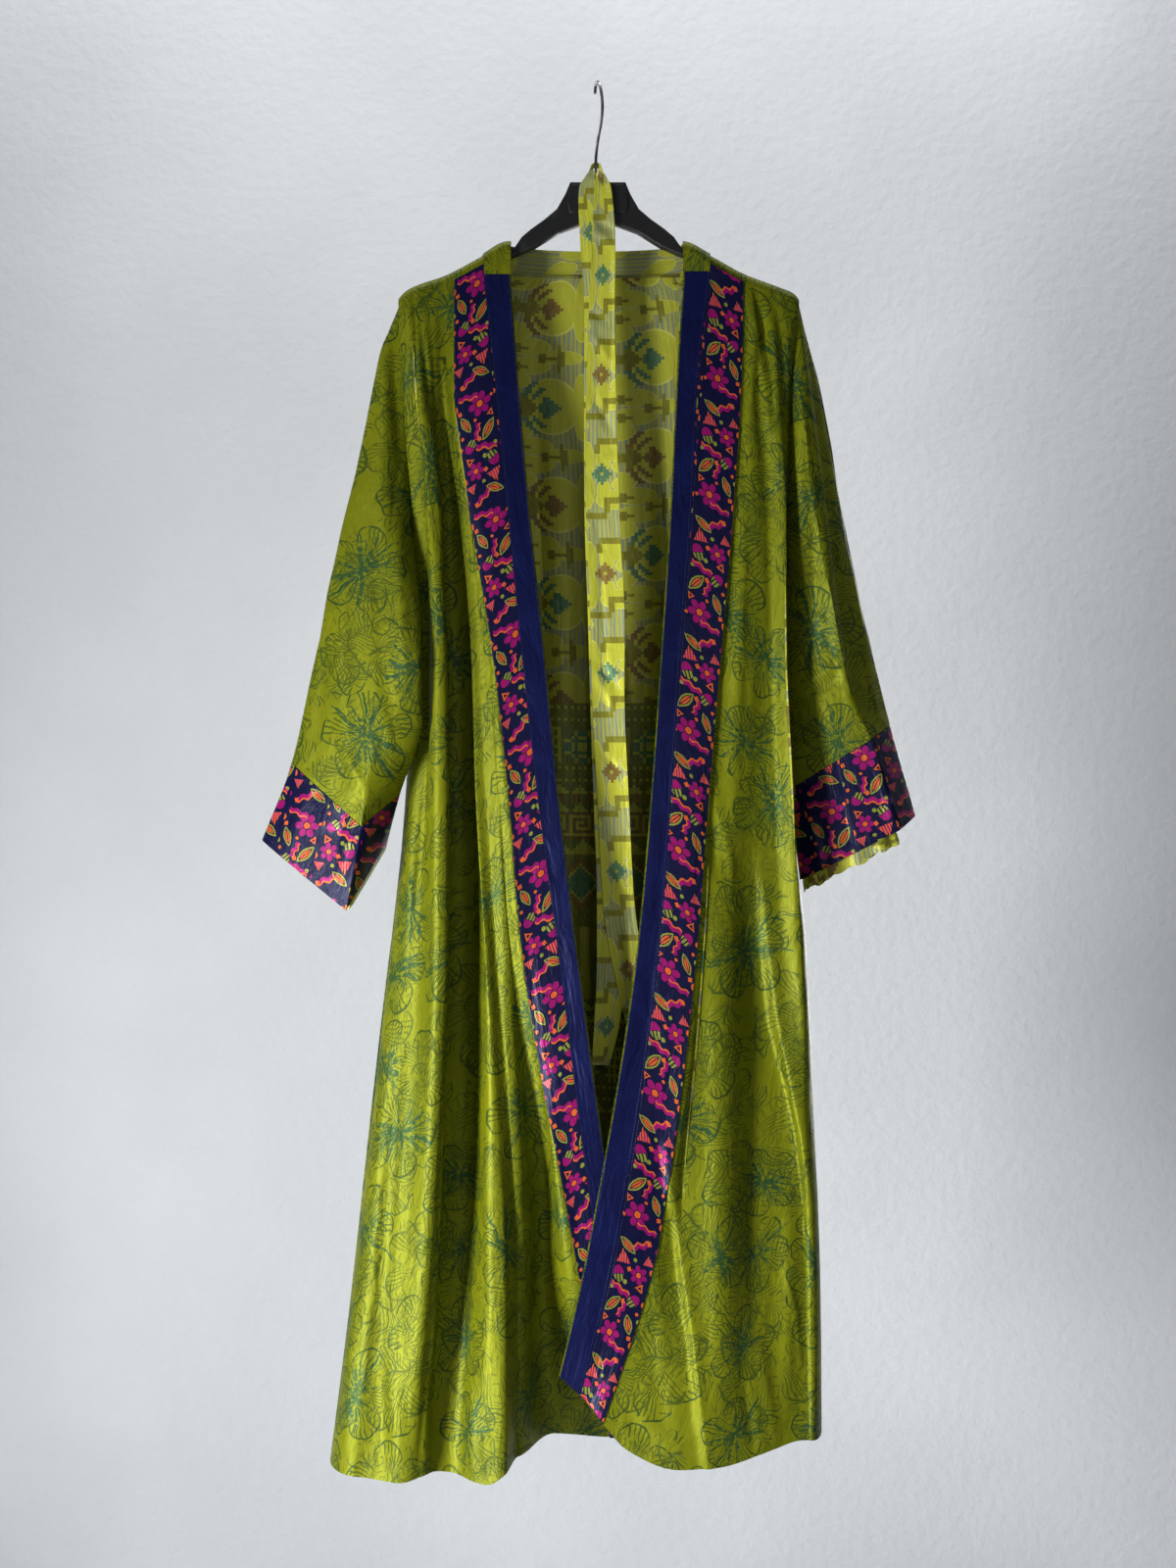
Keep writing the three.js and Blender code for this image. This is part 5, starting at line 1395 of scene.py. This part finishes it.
for outline in PADS:
    middle = np.mean(outline, axis=0)
    flat = np.array(outline) - middle
    first = len(points)
    # Rings from the root in the head, up a rounded edge, and in over the face.
    for depth, inset in ((2.0, 0), (-0.35 * PAD_TALL, 0), (-0.8 * PAD_TALL, 0.3), (-PAD_TALL, 1),
                         (-PAD_TALL, 3)):
        part = 1 - inset * PAD_EDGE / np.linalg.norm(flat, axis=1)
        points += [((x * s + middle[0]) * MM, (PAD_FRONT + depth) * MM, (z * s + middle[1]) * MM)
                   for (x, z), s in zip(flat, part)]
    count = len(outline)
    for ring in range(4):
        for i in range(count):
            a, b = first + ring * count + i, first + ring * count + (i + 1) % count
            faces.append((a, a + count, b + count, b))
    faces.append(tuple(first + 4 * count + i for i in range(count)))
    faces.append(tuple(first + count - 1 - i for i in range(count)))
mesh = bpy.data.meshes.new("hanger_pads")
mesh.from_pydata(points, [], faces)
mesh.materials.append(moulded)
mesh.polygons.foreach_set("use_smooth", np.ones(len(faces), dtype=bool))
mesh.set_sharp_from_angle(angle=radians(50))
pads = bpy.data.objects.new("hanger_pads", mesh)
bpy.context.scene.collection.objects.link(pads)
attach(pads, "root")

steel, t, face = new_material("hook_steel", 0.3, 0.0, Metallic=1.0)
place = t.nodes.new("ShaderNodeTexCoord").outputs["Object"]
drawn = node(t, "VectorMath", place, (1.0, 1.0, 0.05), operation="MULTIPLY")
drawn = node(t, "TexNoise", drawn, None, 1500.0, 2.0)
dull = node(t, "TexNoise", place, None, 90.0, 3.0)
colour = blend(t, ramp(t, dull, 0.4, 0.7), (0.16, 0.16, 0.165), (0.30, 0.30, 0.31))
t.links.new(colour, face.inputs["Base Color"])
t.links.new(calc(t, "MULTIPLY_ADD", dull, 0.25, 0.22), face.inputs["Roughness"])
relief(t, face, drawn, 0.00008)
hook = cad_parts["hanger_hook"]
hook.data.materials.clear()
hook.data.materials.append(steel)

# ------------------------------------------------------------------- stage
# A pale wall stands behind the robe, on a pale floor, under soft light. The
# wall's paint shows on its front alone, so the robe's back can be seen too.
WALL_AT, FLOOR_AT, STAGE_WIDE = 1.0, -1.95, 12
stage_face, t, face = new_material("stage_paint", 0.9, 0.0)
place = t.nodes.new("ShaderNodeTexCoord").outputs["Object"]
mottle = node(t, "TexNoise", place, None, 1.6, 4.0)
colour = blend(t, ramp(t, mottle, 0.35, 0.7), (0.66, 0.68, 0.71), (0.74, 0.76, 0.785))
t.links.new(colour, face.inputs["Base Color"])
t.links.new(calc(t, "MULTIPLY_ADD", mottle, 0.1, 0.82), face.inputs["Roughness"])
relief(t, face, node(t, "TexNoise", place, None, 60.0, 3.0), 0.002)
behind = t.nodes.new("ShaderNodeNewGeometry").outputs["Backfacing"]
t.links.new(calc(t, "SUBTRACT", 1.0, behind), face.inputs["Alpha"])
bpy.ops.mesh.primitive_plane_add(size=STAGE_WIDE, location=(0, WALL_AT, 0), rotation=(pi / 2, 0, 0))
wall = bpy.context.object
wall.name = "wall"
bpy.ops.mesh.primitive_plane_add(size=STAGE_WIDE, location=(0, 0, FLOOR_AT))
floor = bpy.context.object
floor.name = "floor"
for thing in (wall, floor):
    thing.data.materials.append(stage_face)


def lamp(name, spot, at, wide, high, power, spread):
    light = bpy.data.lights.new(name, "AREA")
    light.shape, light.size, light.size_y, light.energy = "RECTANGLE", wide, high, power
    light.spread = radians(spread)
    made = bpy.data.objects.new(name, light)
    made.location = spot
    made.visible_camera = False
    bpy.context.scene.collection.objects.link(made)
    made.rotation_euler = (Vector(at) - Vector(spot)).to_track_quat("-Z", "Y").to_euler()


lamp("key", (-1.6, -1.25, -1.3), (0.04, 0, -1.2), 0.45, 1.1, 27, 110)
lamp("fill", (0.5, -2.8, -0.6), (0, 0, -0.8), 1.2, 1.2, 5, 180)
lamp("back_light", (0.55, 0.95, -0.6), (0.55, 0, -0.6), 0.5, 1.2, 17, 180)
lamp("wall_light", (0.0, 0.3, 1.3), (0, WALL_AT, -0.7), 2.8, 0.3, 24, 180)
world = bpy.data.worlds.new("studio")
world.use_nodes = True
world.node_tree.nodes["Background"].inputs["Color"].default_value = (0.85, 0.88, 0.92, 1)
world.node_tree.nodes["Background"].inputs["Strength"].default_value = 0.13
bpy.context.scene.world = world
bpy.context.scene.view_settings.view_transform = "Standard"
